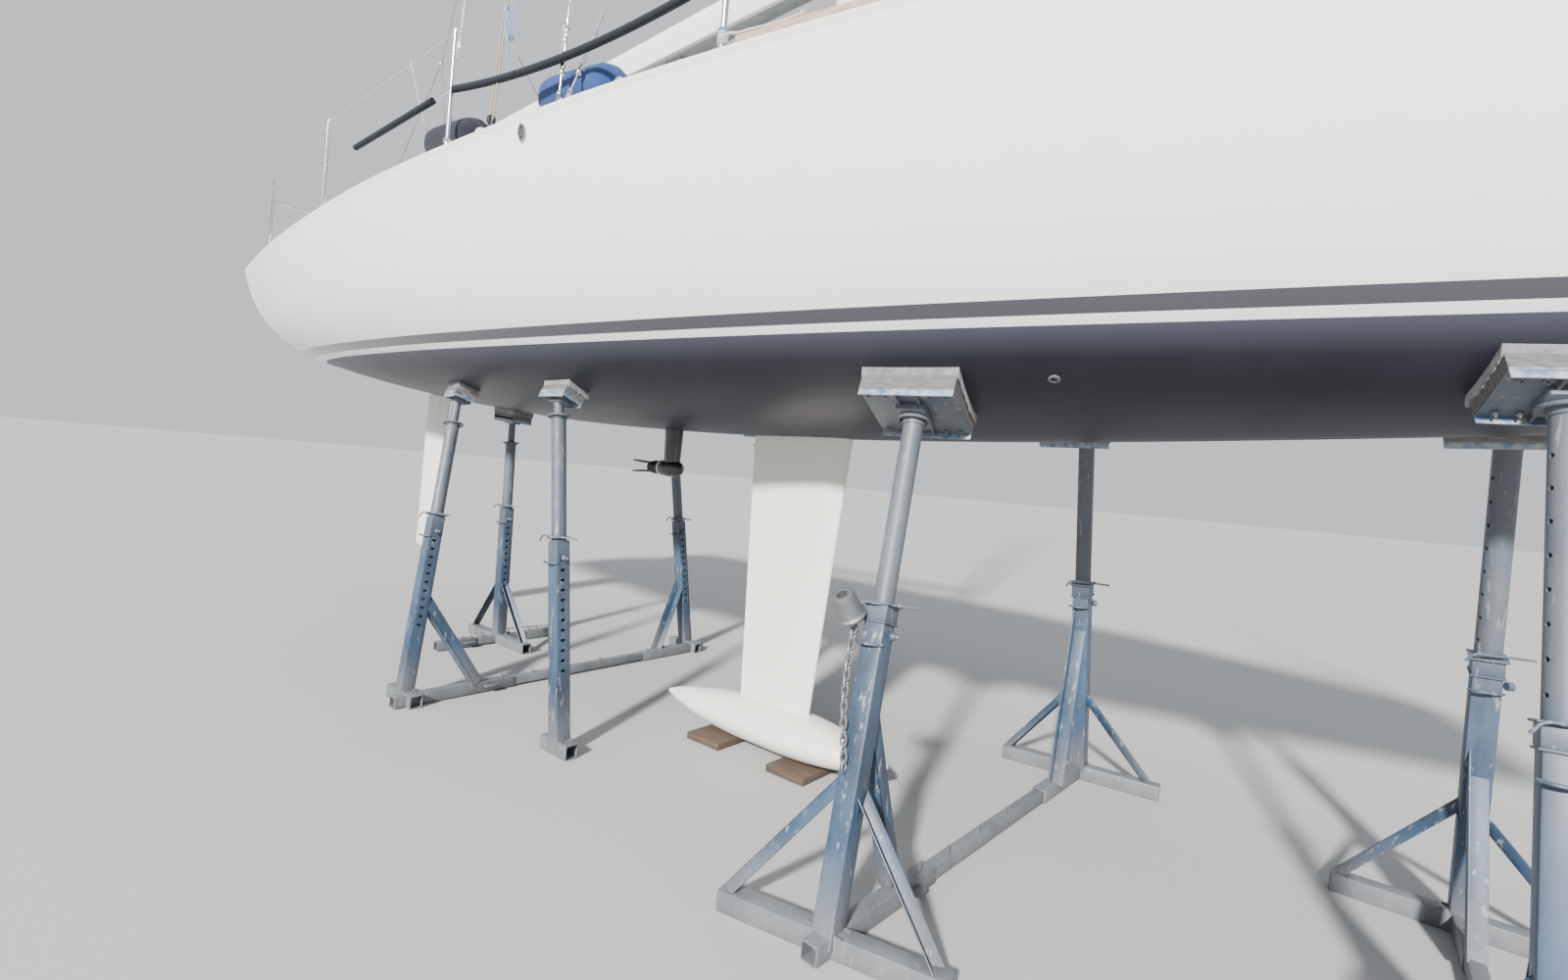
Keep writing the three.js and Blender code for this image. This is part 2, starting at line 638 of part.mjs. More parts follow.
const legRows = [[DRIVE.x + 50, DRIVE.footZ + 20, DRIVE.chord], [DRIVE.x + 50, 2100, DRIVE.chord + 40]];
const podProfile = [[0, 0], [32, 8], [52, 55], [54, 130], [46, DRIVE.podLength], [0, DRIVE.podLength]];
const pod = turned(podProfile, [0, 0, 0], 12);
const podMesh = geometryOf(pod).rotateY(-Math.PI / 2).translate(DRIVE.podFront, 0, DRIVE.shaftZ);
add('saildrive_leg', underHull(joined(blade(legRows, DRIVE.thick), solidOf(podMesh))), DRIVE_PAINT);
add('engine', box(-1300, -650, -240, 240, PAINT_LINE + GAP, 2760), ENGINE_PAINT);

const hubAft = DRIVE.podFront - DRIVE.podLength - 0.5;
const hub = geometryOf(turned([[0, 0], [44, 0], [46, 60], [36, 110], [0, 128]], [0, 0, 0], 12))
  .rotateY(-Math.PI / 2).translate(hubAft, 0, DRIVE.shaftZ);

// A blade folded aft beside the shaft line, on the upper or the lower side
function foldedBlade(way) {
  const outline = new THREE.Shape();
  outline.moveTo(-26, 10);
  outline.quadraticCurveTo(-74, BLADE.length * 0.6, -22, BLADE.length);
  outline.lineTo(22, BLADE.length);
  outline.quadraticCurveTo(74, BLADE.length * 0.6, 26, 10);
  outline.closePath();
  const flat = { depth: BLADE.thick, bevelEnabled: false, curveSegments: 5 };
  const geometry = new THREE.ExtrudeGeometry(outline, flat);
  geometry.translate(0, 0, -BLADE.thick / 2).rotateZ(Math.PI / 2).rotateY(way * BLADE.lean);
  geometry.translate(hubAft - BLADE.rootAft, 0, DRIVE.shaftZ + way * BLADE.apart);
  return solidOf(geometry);
}

add('propeller', joined(solidOf(hub), foldedBlade(1), foldedBlade(-1)), STEEL);

// Rudder

const rudderTop = bottomZ(RUDDER.topX) - 14;
const rudderRows = [
  [stockAt(RUDDER.tipZ) + 40, RUDDER.tipZ, RUDDER.tipChord],
  [stockAt(rudderTop) + 40, rudderTop, RUDDER.topChord],
];
const stock = stockLine(rudderTop - 500, RUDDER.stockTop, RUDDER.stock, 16);
const clearOfHull = loft(hullXs.map((x) => {
  const low = bottomZ(x) - 12;
  return [[x, -900, low], [x, -900, 4000], [x, 900, 4000], [x, 900, low]];
}));
add('rudder', joined(cut(blade(rudderRows, RUDDER.thick), clearOfHull), stock), KEEL_PAINT);

// Mast with its spreaders

function mastRing(z, scale) {
  return Array.from({ length: MAST.sides }, (_, i) => {
    const turn = (2 * Math.PI * i) / MAST.sides;
    return [MAST.x + MAST.long * scale * Math.cos(turn), MAST.wide * scale * Math.sin(turn), z];
  });
}

let mast = loft([mastRing(MAST.foot, 1), mastRing(HOUNDS_Z - 1500, 1), mastRing(MAST.top, 0.66)]);
for (const [z, half, sweep] of SPREADERS) {
  for (const side of [1, -1]) {
    mast = joined(mast, beam([MAST.x - 20, 0, z], [MAST.x - 20 - sweep, side * half, z + 60], 26, 90));
  }
}
mast = joined(mast, box(MAST.x - 260, MAST.x + 120, -20, 20, MAST.top - 60, MAST.top));
mast = joined(mast, rod([MAST.x - 30, -95, HOUNDS_Z], [MAST.x - 30, 95, HOUNDS_Z], 14));
// Lugs above and below the pins of the boom and its strut
for (const z of [BOOM.z, VANG_Z]) {
  for (const way of [1, -1]) {
    const [near, far] = [z + way * (PIN_HALF + GAP), z + way * (PIN_HALF + 14)];
    const [low, high] = [Math.min(near, far), Math.max(near, far)];
    mast = joined(mast, box(BOOM.gooseneck - 22, MAST.x - MAST.long + 20, -22, 22, low, high));
  }
}
add('mast', mast, WHITE_ALLOY);

// Stays and shrouds

const towards = (a, b, step) => {
  const length = distance(a, b);
  return a.map((value, i) => value + ((b[i] - value) * step) / length);
};

const stemhead = [FORESTAY.x, 0, deckTop(FORESTAY.x, 0) - 20];
const foreHound = [MAST.x + 100, 0, HOUNDS_Z];
const drumAt = (step) => towards(stemhead, foreHound, step);
const forestay = joined(
  rod(stemhead, drumAt(160), 16, 8),
  rod(drumAt(140), drumAt(280), FORESTAY.drum, 14),
  rod(drumAt(270), towards(foreHound, stemhead, 35), FORESTAY.foil, 8),
  rod(drumAt(400), towards(foreHound, stemhead, 12), WIRE, 6));
add('forestay', onDeck(forestay), ALLOY);

const backFoot = [BACKSTAY_X, GATE_HALF + 160, deckTop(BACKSTAY_X, GATE_HALF + 160) - 20];
const backFootStarboard = [backFoot[0], -backFoot[1], backFoot[2]];
const backJoin = [-4700, 0, 5400];
const backHead = [MAST.x - 267, 0, MAST.top - 38];
add('backstay', onDeck(joined(
  rod(backFoot, backJoin, WIRE, 6), rod(backFootStarboard, backJoin, WIRE, 6), ball(backJoin, 28),
  rod(backJoin, backHead, WIRE, 6))), STEEL);

for (const [side, name] of [[1, 'port'], [-1, 'starboard']]) {
  const plateY = side * (sheerHalf(CHAIN.x) - CHAIN.inset);
  const plateZ = deckTop(CHAIN.x, plateY);
  const tip = ([z, half, sweep]) => {
    const reach = 1 + TIP_GAP / Math.hypot(half, sweep);
    return [MAST.x - 20 - sweep * reach, side * half * reach, z + 60];
  };
  const [low, high] = SPREADERS.map(tip);
  const hound = [MAST.x - 30, side * 103, HOUNDS_Z];
  const lowerHead = [MAST.x - 30, side * (MAST.wide + 8), SPREADERS[0][0] - 130];
  const wires = joined(
    box(CHAIN.x - 45, CHAIN.x + 85, plateY - 8, plateY + 8, plateZ - 30, plateZ + 60),
    rod([CHAIN.x, plateY, plateZ + 40], low, WIRE, 6),
    rod([CHAIN.x, plateY, plateZ + 50], towards([CHAIN.x, plateY, plateZ], low, 420), 15, 8),
    ball(low, 9, 6),
    rod(low, high, WIRE, 6),
    ball(high, 9, 6),
    rod(high, hound, WIRE, 6),
    rod([LOWER_X, plateY, plateZ + 40], lowerHead, WIRE, 6),
    rod([LOWER_X, plateY, plateZ + 50], towards([LOWER_X, plateY, plateZ], lowerHead, 400), 15, 8));
  add(`shrouds_${name}`, onDeck(wires), STEEL);
}

// Boom and its strut

// Height of the boom's underside
function boomUnder(x) {
  return BOOM.z - BOOM.high + BOOM.droop * (x - BOOM.front);
}

function boomRing(x, scale) {
  const outline = [
    [1, 0.75], [0.75, 1], [-0.75, 1], [-1, 0.75],
    [-1, -0.75], [-0.75, -1], [0.75, -1], [1, -0.75],
  ];
  return outline.map(([y, z]) => [x, y * BOOM.wide * scale, boomUnder(x) + (z + 1) * scale * BOOM.high]);
}

add('boom', joined(
  loft([boomRing(BOOM.aft, 0.92), boomRing(BOOM.front, 1)]),
  box(BOOM.front - 5, BOOM.gooseneck - 10, -12, 12, BOOM.z - 40, BOOM.z + 40),
  rod([BOOM.gooseneck, 0, BOOM.z - PIN_HALF], [BOOM.gooseneck, 0, BOOM.z + PIN_HALF], 20, 10)), WHITE_ALLOY);
const vangFoot = [BOOM.gooseneck, 0, VANG_Z];
const vangTop = boomUnder(VANG_HEAD_X - 90) - GAP;
const vangHead = [VANG_HEAD_X, 0, vangTop - 40];
add('vang', joined(
  rod([vangFoot[0], 0, VANG_Z - PIN_HALF], [vangFoot[0], 0, VANG_Z + PIN_HALF], 18, 10),
  rod(vangFoot, vangHead, 21, 10),
  box(vangHead[0] - 90, vangHead[0] + 60, -18, 18, vangHead[2] - 30, vangTop)), ALLOY);

// Rails

function deckEdgePoint(x, side, up) {
  const y = side * (sheerHalf(x) - STANCHION_INSET);
  return [x, y, deckTop(x, y) + up];
}

for (const [side, name] of [[1, 'port'], [-1, 'starboard']]) {
  let rails = null;
  for (const x of STANCHIONS_X) {
    const post = rod(deckEdgePoint(x, side, -20), deckEdgePoint(x, side, RAIL_HEIGHT), RAIL_TUBE, 7);
    rails = rails ? joined(rails, post) : post;
  }
  const wireXs = [RAIL_AFT, ...STANCHIONS_X, RAIL_FRONT];
  for (const up of [RAIL_HEIGHT - 12, RAIL_HEIGHT / 2]) {
    for (let i = 0; i < wireXs.length - 1; i += 1) {
      const [from, to] = [wireXs[i], wireXs[i + 1]].map((x) => deckEdgePoint(x, side, up));
      rails = joined(rails, rod(from, to, RAIL_WIRE, 6));
    }
  }
  add(`lifelines_${name}`, onDeck(rails), STEEL);
}

const edge = (x, side, up, inset = STANCHION_INSET) => {
  const y = side * Math.max(sheerHalf(x) - inset, 60);
  return [x, y, deckTop(x, y) + up];
};
const pulpitX = { aft: RAIL_FRONT + 30, mid: 4500, front: 5020 };
const pulpitTop = (side) => [
  edge(pulpitX.aft, side, RAIL_HEIGHT),
  edge(pulpitX.mid, side, RAIL_HEIGHT + 10),
  edge(pulpitX.front, side, RAIL_HEIGHT),
];
let pulpit = railing([...pulpitTop(1), ...pulpitTop(-1).reverse()], RAIL_TUBE);
for (const side of [1, -1]) {
  pulpit = joined(pulpit,
    railing([edge(pulpitX.aft, side, RAIL_HEIGHT), edge(pulpitX.aft - 5, side, -20)], RAIL_TUBE),
    railing([edge(pulpitX.mid, side, RAIL_HEIGHT + 10), edge(pulpitX.mid - 60, side, -20, 62)], RAIL_TUBE),
    railing([edge(pulpitX.aft, side, RAIL_HEIGHT / 2), edge(pulpitX.mid - 30, side, RAIL_HEIGHT / 2)],
      RAIL_TUBE - 2),
    railing([edge(pulpitX.front, side, RAIL_HEIGHT), edge(pulpitX.front - 260, side, -20, 90)], RAIL_TUBE));
}
add('pulpit', onDeck(pulpit), STEEL);

for (const [side, name] of [[1, 'port'], [-1, 'starboard']]) {
  const gateY = side * (GATE_HALF + 60);
  const corner = [STERN_X + 110, side * (sheerHalf(STERN_X + 110) - 150)];
  const front = edge(RAIL_AFT - 30, side, RAIL_HEIGHT);
  const top = front[2];
  const gate = [STERN_X + 80, gateY, top];
  const corners = [edge(RAIL_AFT - 30, side, -20), front, [...corner, top], gate, [gate[0], gateY, 3000]];
  let pushpit = railing(corners, RAIL_TUBE);
  pushpit = joined(pushpit,
    rod([...corner, top], [...corner, 3000], RAIL_TUBE),
    railing([edge(RAIL_AFT - 30, side, RAIL_HEIGHT / 2), [...corner, top - RAIL_HEIGHT / 2],
      [gate[0], gateY, top - RAIL_HEIGHT / 2]], RAIL_TUBE - 2));
  add(`pushpit_${name}`, onDeck(pushpit), STEEL);
}

// Toe rail along the forward part of the deck edge

function toeRail(side) {
  const xs = Array.from({ length: 12 }, (_, i) => mix(TOE_RAIL_AFT, STEM_X - 150, i / 11));
  return loft(xs.map((x) => {
    const outer = Math.max(sheerHalf(x) - 8, 20);
    const inner = Math.max(outer - 22, 1);
    const z = deckTop(x, outer);
    return [[x, side * inner, z - 12], [x, side * outer, z - 12],
      [x, side * outer, z + 36], [x, side * inner, z + 38]];
  }));
}

const noseHalf = sheerHalf(STEM_X - 160) - 14;
const railNose = box(STEM_X - 180, STEM_X - 150, -noseHalf, noseHalf,
  deckTop(STEM_X - 150, 0) - 30, deckTop(STEM_X - 150, 0) + 30);
add('toe_rail', onDeck(joined(toeRail(1), toeRail(-1), railNose)), TEAK);

// Winches

const WINCH_PROFILE = [
  [0, 0], [78, 0], [78, 22], [58, 34], [52, 75],
  [60, 108], [72, 118], [72, 130], [40, 146], [0, 146],
];
const WINCHES = [
  // name, x, y, z of the seat, scale
  ['primary', -3000, 1040, COCKPIT.top, 1],
  ['roof', -1150, 590, 0, 0.8],
];
for (const [side, name] of [[1, 'port'], [-1, 'starboard']]) {
  for (const [place, x, y, z, scale] of WINCHES) {
    const profile = WINCH_PROFILE.map(([r, up]) => [r * scale, up * scale]);
    const seat = z || roofTop(x) - 20;
    const lift = z ? GAP : 0;
    const drum = turned(profile, [x, side * y, seat + lift], 16);
    const roofCover = roofBody(ROOF_AFT, ROOF_FRONT, -GAP, 60);
    add(`winch_${place}_${name}`, z ? drum : cut(drum, roofCover), STEEL);
  }
}

// Helm: pedestal and wheel

const helmFoot = COCKPIT.sole + GAP;
add('pedestal', joined(
  box(WHEEL.x + 90, WHEEL.x + 300, -110, 110, helmFoot, WHEEL.z - 60),
  box(WHEEL.x + 60, WHEEL.x + 320, -150, 150, WHEEL.z - 80, WHEEL.z + 90),
  rod([WHEEL.x + 70, 0, WHEEL.z], [WHEEL.x + 31.5, 0, WHEEL.z], 30, 12)), GELCOAT);

let wheel = solidOf(new THREE.TorusGeometry(WHEEL.radius, WHEEL.rim, 6, 30)
  .rotateY(Math.PI / 2).translate(WHEEL.x, 0, WHEEL.z));
wheel = joined(wheel, rod([WHEEL.x - 25, 0, WHEEL.z], [WHEEL.x + 31, 0, WHEEL.z], 48, 14));
for (let i = 0; i < WHEEL.spokes; i += 1) {
  const turn = (2 * Math.PI * i) / WHEEL.spokes;
  const tip = [WHEEL.x, WHEEL.radius * Math.sin(turn), WHEEL.z + WHEEL.radius * Math.cos(turn)];
  wheel = joined(wheel, rod([WHEEL.x, 0, WHEEL.z], tip, 10, 6));
}
add('wheel', wheel, STEEL);

// Fenders

for (const [name, aft, front, y, radius, lift] of FENDERS) {
  const middle = (aft + front) / 2;
  const z = deckTop(middle, y) + radius + lift;
  const length = front - aft;
  const profile = [[0, 0], [radius * 0.5, 18], [radius * 0.88, 60], [radius, 110],
    [radius, length - 110], [radius * 0.88, length - 60], [radius * 0.5, length - 18], [0, length]];
  const geometry = geometryOf(turned(profile, [0, 0, 0], 14)).rotateY(Math.PI / 2).translate(aft, y, z);
  add(name, onDeck(solidOf(geometry)), name === 'fender_blue' ? BLUE_CLOTH : NAVY_CLOTH);
}

// Props under the hull

// Placement of a prop's head: on the hull's skin, with z along its normal and x level
function headFrame(headX, headY) {
  const headZ = bottomAt(headX, headY);
  const slopeY = (bottomAt(headX, headY + 40) - bottomAt(headX, headY - 40)) / 80;
  const slopeX = (bottomAt(headX + 40, headY) - bottomAt(headX - 40, headY)) / 80;
  const normal = new THREE.Vector3(-slopeX, -slopeY, 1).normalize();
  const level = new THREE.Vector3(Math.abs(normal.y), -normal.x * Math.sign(normal.y || 1), 0);
  const guide = Math.abs(normal.y) > 0.02 ? level : new THREE.Vector3(1, 0, 0);
  const across = guide.projectOnPlane(normal).normalize();
  const basis = new THREE.Matrix4().makeBasis(across, normal.clone().cross(across), normal);
  return basis.setPosition(headX, headY, headZ);
}

function propParts(form, [footX, footY, headX, headY, turn, innerTop]) {
  const size = PROP_SIZE;
  const place = headFrame(headX, headY);
  const headPiece = (x0, x1, wide, low, high) => {
    const geometry = new THREE.BoxGeometry(x1 - x0, wide, low - high);
    return solidOf(geometry.translate((x0 + x1) / 2, 0, -(low + high) / 2).applyMatrix4(place));
  };
  const [long, wide] = [form.head, form.headWide];
  const top = new THREE.Vector3(0, 0, -105).applyMatrix4(place).toArray();
  const foot = [footX, footY, size.foot];
  const at = (z) => foot.map((value, i) => mix(value, top[i], (z - foot[2]) / (top[2] - foot[2])));
  const swing = (turn * Math.PI) / 180;
  const alongFoot = (reach, z) => [footX + reach * Math.cos(swing), footY + reach * Math.sin(swing), z];
  const parts = [
    beam(alongFoot(-form.footLength / 2, size.foot / 2), alongFoot(form.footLength / 2, size.foot / 2),
      size.foot, size.foot),
    beam([footX, footY, 20], at(size.postTop), size.post, size.post),
    beam(at(size.postTop - 12), at(size.postTop + 2), size.flange, size.flange),
    beam(at(size.bandZ), at(size.bandZ + 22), size.band, size.band),
    rod(at(size.postTop - 60), top, size.tube, 12),
    headPiece(-size.neck, size.neck, wide * 0.5, 112, 74),
    headPiece(-long / 2, long / 2, wide, 80, 62),
    underHull(headPiece(-long / 2, long / 2, wide, 70, -20)),
  ];
  for (const way of [1, -1]) {
    const rib = way * size.ribAside;
    parts.push(headPiece(rib - size.rib / 2, rib + size.rib / 2, wide * 0.86, 80 + size.ribDeep, 74));
    if (form.braced) {
      const low = alongFoot(way * size.strutReach, size.foot - 20);
      parts.push(beam(low, at(size.strutZ), size.strut, size.strut));
    }
  }
  if (innerTop) {
    const low = [footX + form.aside, footY - Math.sign(footY) * size.innerReach, size.foot - 25];
    parts.push(beam(low, at(innerTop), size.strut, size.strut));
  }
  return parts;
}

for (const [name, form, ...uprights] of PROPS) {
  const parts = uprights.flatMap((upright) => propParts(form, upright));
  const [footX, footY] = uprights[0];
  const ends = form.lone ? [[footX, footY - LONE_BEAM_HALF], [footX, footY + LONE_BEAM_HALF]] : uprights;
  if (ends.length > 1) {
    const beamEnd = ([x, y]) => [x + form.aside, y + Math.sign(y) * BEAM_STUB, PROP_SIZE.foot / 2];
    const [from, to] = ends.map(beamEnd);
    parts.push(beam(from, to, PROP_SIZE.foot - 10, PROP_SIZE.foot - 10));
  }
  add(name, joined(...parts), PROP_PAINT);
}

export default yacht;
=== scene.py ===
"""Sailing yacht stored ashore on her keel and props: finishes and fine shapes around the CAD frame."""

import math
import random

import bpy
from mathutils import Matrix, Vector


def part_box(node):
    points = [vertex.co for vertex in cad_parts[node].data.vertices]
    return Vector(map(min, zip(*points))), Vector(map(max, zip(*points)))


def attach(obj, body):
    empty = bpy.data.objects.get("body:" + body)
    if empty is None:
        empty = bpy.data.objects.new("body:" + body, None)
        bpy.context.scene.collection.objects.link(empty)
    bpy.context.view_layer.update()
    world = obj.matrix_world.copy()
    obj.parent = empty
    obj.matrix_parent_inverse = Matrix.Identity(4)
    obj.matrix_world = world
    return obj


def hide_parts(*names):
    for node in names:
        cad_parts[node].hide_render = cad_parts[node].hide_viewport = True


bl_info = {
    "name": "Yacht Ashore",
    "version": (1, 0, 0),
    "blender": (4, 5, 0),
    "location": "View3D > Sidebar > Yacht",
    "description": "Builds the looks of a sailing yacht on her keel and props",
    "category": "Object",
}

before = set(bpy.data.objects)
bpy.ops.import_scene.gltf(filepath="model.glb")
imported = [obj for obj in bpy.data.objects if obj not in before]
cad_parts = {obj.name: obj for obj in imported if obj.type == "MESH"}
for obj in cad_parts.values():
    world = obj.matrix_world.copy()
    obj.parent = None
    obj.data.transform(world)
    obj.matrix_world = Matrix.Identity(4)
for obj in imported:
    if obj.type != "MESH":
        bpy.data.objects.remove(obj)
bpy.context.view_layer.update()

TAU = 2 * math.pi
UP = Vector((0, 0, 1))
SIDES = ((1, "port"), (-1, "starboard"))

# The hull's form, in metres: x, sheer half-breadth, sheer height, height of the bottom, fullness
HULL_STATIONS = (
    (-5.25, 1.323, 3.020, 2.254, 0.81),
    (-4.2, 1.46, 3.034, 2.105, 0.81),
    (-3.0, 1.56, 3.052, 1.975, 0.81),
    (-1.63, 1.6, 3.077, 1.879, 0.81),
    (0.0, 1.504, 3.112, 1.838, 0.81),
    (1.5, 1.283, 3.148, 1.862, 0.81),
    (3.0, 0.949, 3.192, 1.936, 0.72),
    (4.2, 0.56, 3.245, 2.03, 0.55),
    (4.8, 0.285, 3.28, 2.09, 0.45),
    (5.25, 0.025, 3.31, 2.18, 0.3),
)
STERN_X, STEM_X = -5.25, 5.25
STEM_RAKE, STEM_RAKE_FROM = 0.215, 3.2
DECK_EDGE, DECK_CAMBER, MAX_HALF = 0.035, 0.07, 1.6
# Lowest and highest corners of the opening in the stern
STERN_GATE = ((STERN_X - 0.1, -0.38, 2.62), (-4.89, 0.38, 4))
# Coachroof: x, half-breadth at its foot, height of its top
ROOF_STATIONS = (
    (-1.65, 0.9, 3.505),
    (-0.7, 0.885, 3.51),
    (0.3, 0.83, 3.51),
    (1.1, 0.74, 3.48),
    (1.8, 0.61, 3.41),
    (2.5, 0.42, 3.3),
)
# Its section: share of the half-breadth lost, share of the height gained
ROOF_SECTION = ((0, -0.3), (0, 0), (0.06, 0.45), (0.12, 0.8), (0.2, 0.93), (0.55, 0.985), (1, 1))
# Bulb: x, half-breadth, height of its top, height of its bottom
BULB_STATIONS = (
    (-0.676, 0.015, 0.158, 0.130),
    (-0.56, 0.06, 0.196, 0.1),
    (-0.372, 0.112, 0.236, 0.068),
    (-0.1, 0.158, 0.276, 0.04),
    (0.18, 0.182, 0.29, 0.04),
    (0.45, 0.18, 0.28, 0.04),
    (0.664, 0.15, 0.252, 0.062),
    (0.83, 0.1, 0.22, 0.095),
    (0.93, 0.045, 0.188, 0.128),
    (0.96, 0.012, 0.17, 0.148),
)


def column_at(table, x, column):
    """Smooth value of a table's column at x."""
    i = 0
    while i < len(table) - 2 and x > table[i + 1][0]:
        i += 1

    def slope(k):
        low, high = table[max(k - 1, 0)], table[min(k + 1, len(table) - 1)]
        return (high[column] - low[column]) / (high[0] - low[0])

    a, b = table[i], table[i + 1]
    span = b[0] - a[0]
    t = (x - a[0]) / span
    return (
        (2 * t**3 - 3 * t**2 + 1) * a[column]
        + (t**3 - 2 * t**2 + t) * span * slope(i)
        + (3 * t**2 - 2 * t**3) * b[column]
        + (t**3 - t**2) * span * slope(i + 1)
    )


def mix(a, b, t):
    """The value the share t of the way from a to b."""
    return a + (b - a) * t


def sheer_half(x):
    return column_at(HULL_STATIONS, x, 1)


def sheer_z(x):
    return column_at(HULL_STATIONS, x, 2)


def bottom_z(x):
    return column_at(HULL_STATIONS, x, 3)


def section_point(x, t):
    """(y, z) on half a hull section: t is 0 in the middle of the bottom and 1 at the sheer."""
    half, top, low, full = (column_at(HULL_STATIONS, x, k) for k in (1, 2, 3, 4))
    depth = top - low
    controls = (
        (0, low),
        (half * mix(0.16, 0.66, full), low + depth * mix(0.1, 0.02, full)),
        (half * mix(0.62, 0.97, full), low + depth * mix(0.45, 0.16, full)),
        (half, top),
    )
    weights = ((1 - t) ** 3, 3 * t * (1 - t) ** 2, 3 * t**2 * (1 - t), t**3)
    return tuple(sum(w * c[k] for w, c in zip(weights, controls)) for k in (0, 1))


def raked_x(x, z):
    """Where a point of the section at x lies once the raked stem has drawn it aft."""
    reach = max(0, (x - STEM_RAKE_FROM) / (STEM_X - STEM_RAKE_FROM))
    return x - STEM_RAKE * reach**3 * (sheer_z(x) - z) / (sheer_z(STEM_X) - bottom_z(STEM_X))


def section_reaching(x, column, value):
    """The point of the half section at x whose y (column 0) or z (column 1) is value."""
    low, high = 0.0, 1.0
    for _ in range(40):
        middle = (low + high) / 2
        if section_point(x, middle)[column] < value:
            low = middle
        else:
            high = middle
    return section_point(x, low)


def hull_height(x, y):
    """Height of the hull's bottom at x and y."""
    return section_reaching(x, 0, abs(y))[1]


def hull_side(x, z):
    """Half-breadth of the hull at x and height z."""
    return section_reaching(x, 1, z)[0]


def deck_top(x, y):
    """Height of the cambered deck at x and y."""
    half = sheer_half(x)
    return sheer_z(x) + DECK_EDGE + DECK_CAMBER * (half / MAX_HALF) * (1 - (y / half) ** 2)


def edge_point(x, side, up, inset=0.045):
    """A point up above the deck, just inside its edge."""
    y = side * max(sheer_half(x) - inset, 0.06)
    return Vector((x, y, deck_top(x, y) + up))


def spaced(a, b, count):
    """Evenly spaced values from a to b."""
    return [mix(a, b, i / (count - 1)) for i in range(count)]


# Modelling


def deselect():
    if bpy.context.object and bpy.context.object.mode != "OBJECT":
        bpy.ops.object.mode_set(mode="OBJECT")
    bpy.ops.object.select_all(action="DESELECT")


def select(piece):
    deselect()
    piece.select_set(True)
    bpy.context.view_layer.objects.active = piece


def edited(piece, *acts):
    """Runs edit-mode operators, each on the whole of a piece."""
    select(piece)
    bpy.ops.object.mode_set(mode="EDIT")
    for act in acts:
        bpy.ops.mesh.select_all(action="SELECT")
        act()
    bpy.ops.object.mode_set(mode="OBJECT")
    return piece


def face_outwards():
    bpy.ops.mesh.normals_make_consistent(inside=False)


def weld(piece, distance=1e-5):
    """Merges doubled points and turns the faces outwards."""
    return edited(piece, lambda: bpy.ops.mesh.remove_doubles(threshold=distance), face_outwards)


def surface(across, along, place):
    """A grid whose points go where place(u, v) says, for u and v from 0 to 1."""
    deselect()
    bpy.ops.mesh.primitive_grid_add(x_subdivisions=across, y_subdivisions=along, size=2)
    piece = bpy.context.object
    for point in piece.data.vertices:
        point.co = place((point.co.x + 1) / 2, (point.co.y + 1) / 2)
    return weld(piece)


def ring_body(stations, ring):
    """A closed body through rings of points: ring(x) gives the same number of points at each station."""
    rings = [ring(x) for x in stations]
    last, count = len(rings) - 1, len(rings[0])
    piece = surface(last, count, lambda u, v: Vector(rings[round(u * last)][round(v * count) % count]))
    return edited(piece, lambda: bpy.ops.mesh.fill_holes(sides=0), face_outwards)


def frame_along(a, b):
    """A placement whose z runs from a to b and whose x is as level as it can be."""
    way = (Vector(b) - Vector(a)).normalized()
    side = Vector((0, 1, 0)) if abs(way.z) > 0.8 else UP
    x = side.cross(way).normalized()
    return Matrix.Translation(a) @ Matrix((x, way.cross(x), way)).transposed().to_4x4()


def turned(profile, a, b, steps=24):
    """A profile of (radius, distance) turned about the line from a towards b."""
    last = len(profile) - 1
    place = frame_along(a, b)

    def point(u, v):
        radius, height = profile[round(u * last)]
        return place @ Vector((radius * math.cos(TAU * v), radius * math.sin(TAU * v), height))

    return surface(last, steps, point)


def rod(a, b, radius, sides=16, ease=0.0):
    """A round bar, with its ends rounded over where ease is given."""
    length = (Vector(b) - Vector(a)).length
    profile = [(0, 0), (radius, 0), (radius, length), (0, length)]
    if ease:
        profile[1:3] = [(radius - ease, 0), (radius, ease), (radius, length - ease), (radius - ease, length)]
    return turned(profile, a, b, sides)


def bolt(a, b, radius):
    """Six-sided bolt head from a to b."""
    return rod(a, b, radius, 6, min(0.001, radius / 5))


def torus(radius, thick, segments, sides):
    deselect()
    bpy.ops.mesh.primitive_torus_add(
        major_radius=radius, minor_radius=thick, major_segments=segments, minor_segments=sides)
    return bpy.context.object


def pipe(points, radius, sides=3, smooth=False):
    """A tube along a line of points, with closed ends."""
    deselect()
    curve = bpy.data.curves.new("pipe", "CURVE")
    curve.dimensions = "3D"
    curve.bevel_depth = radius
    curve.bevel_resolution = sides
    curve.use_fill_caps = True
    curve.resolution_u = 6
    spline = curve.splines.new("BEZIER" if smooth else "POLY")
    if smooth:
        spline.bezier_points.add(len(points) - 1)
        for knot, point in zip(spline.bezier_points, points):
            knot.co = point
            knot.handle_left_type = knot.handle_right_type = "AUTO"
    else:
        spline.points.add(len(points) - 1)
        for knot, point in zip(spline.points, points):
            knot.co = (*point, 1)
    piece = bpy.data.objects.new("pipe", curve)
    bpy.context.collection.objects.link(piece)
    select(piece)
    bpy.ops.object.convert(target="MESH")
    return weld(bpy.context.object, 1e-6)


def ease_edges(piece, width, segments=2, angle=35):
    """Bevels the edges that turn by more than angle."""
    if width <= 0:
        return piece
    select(piece)
    bevel = piece.modifiers.new("ease", "BEVEL")
    bevel.width = width
    bevel.segments = segments
    bevel.limit_method = "ANGLE"
    bevel.angle_limit = math.radians(angle)
    bevel.use_clamp_overlap = True
    bpy.ops.object.modifier_apply(modifier=bevel.name)
    return piece


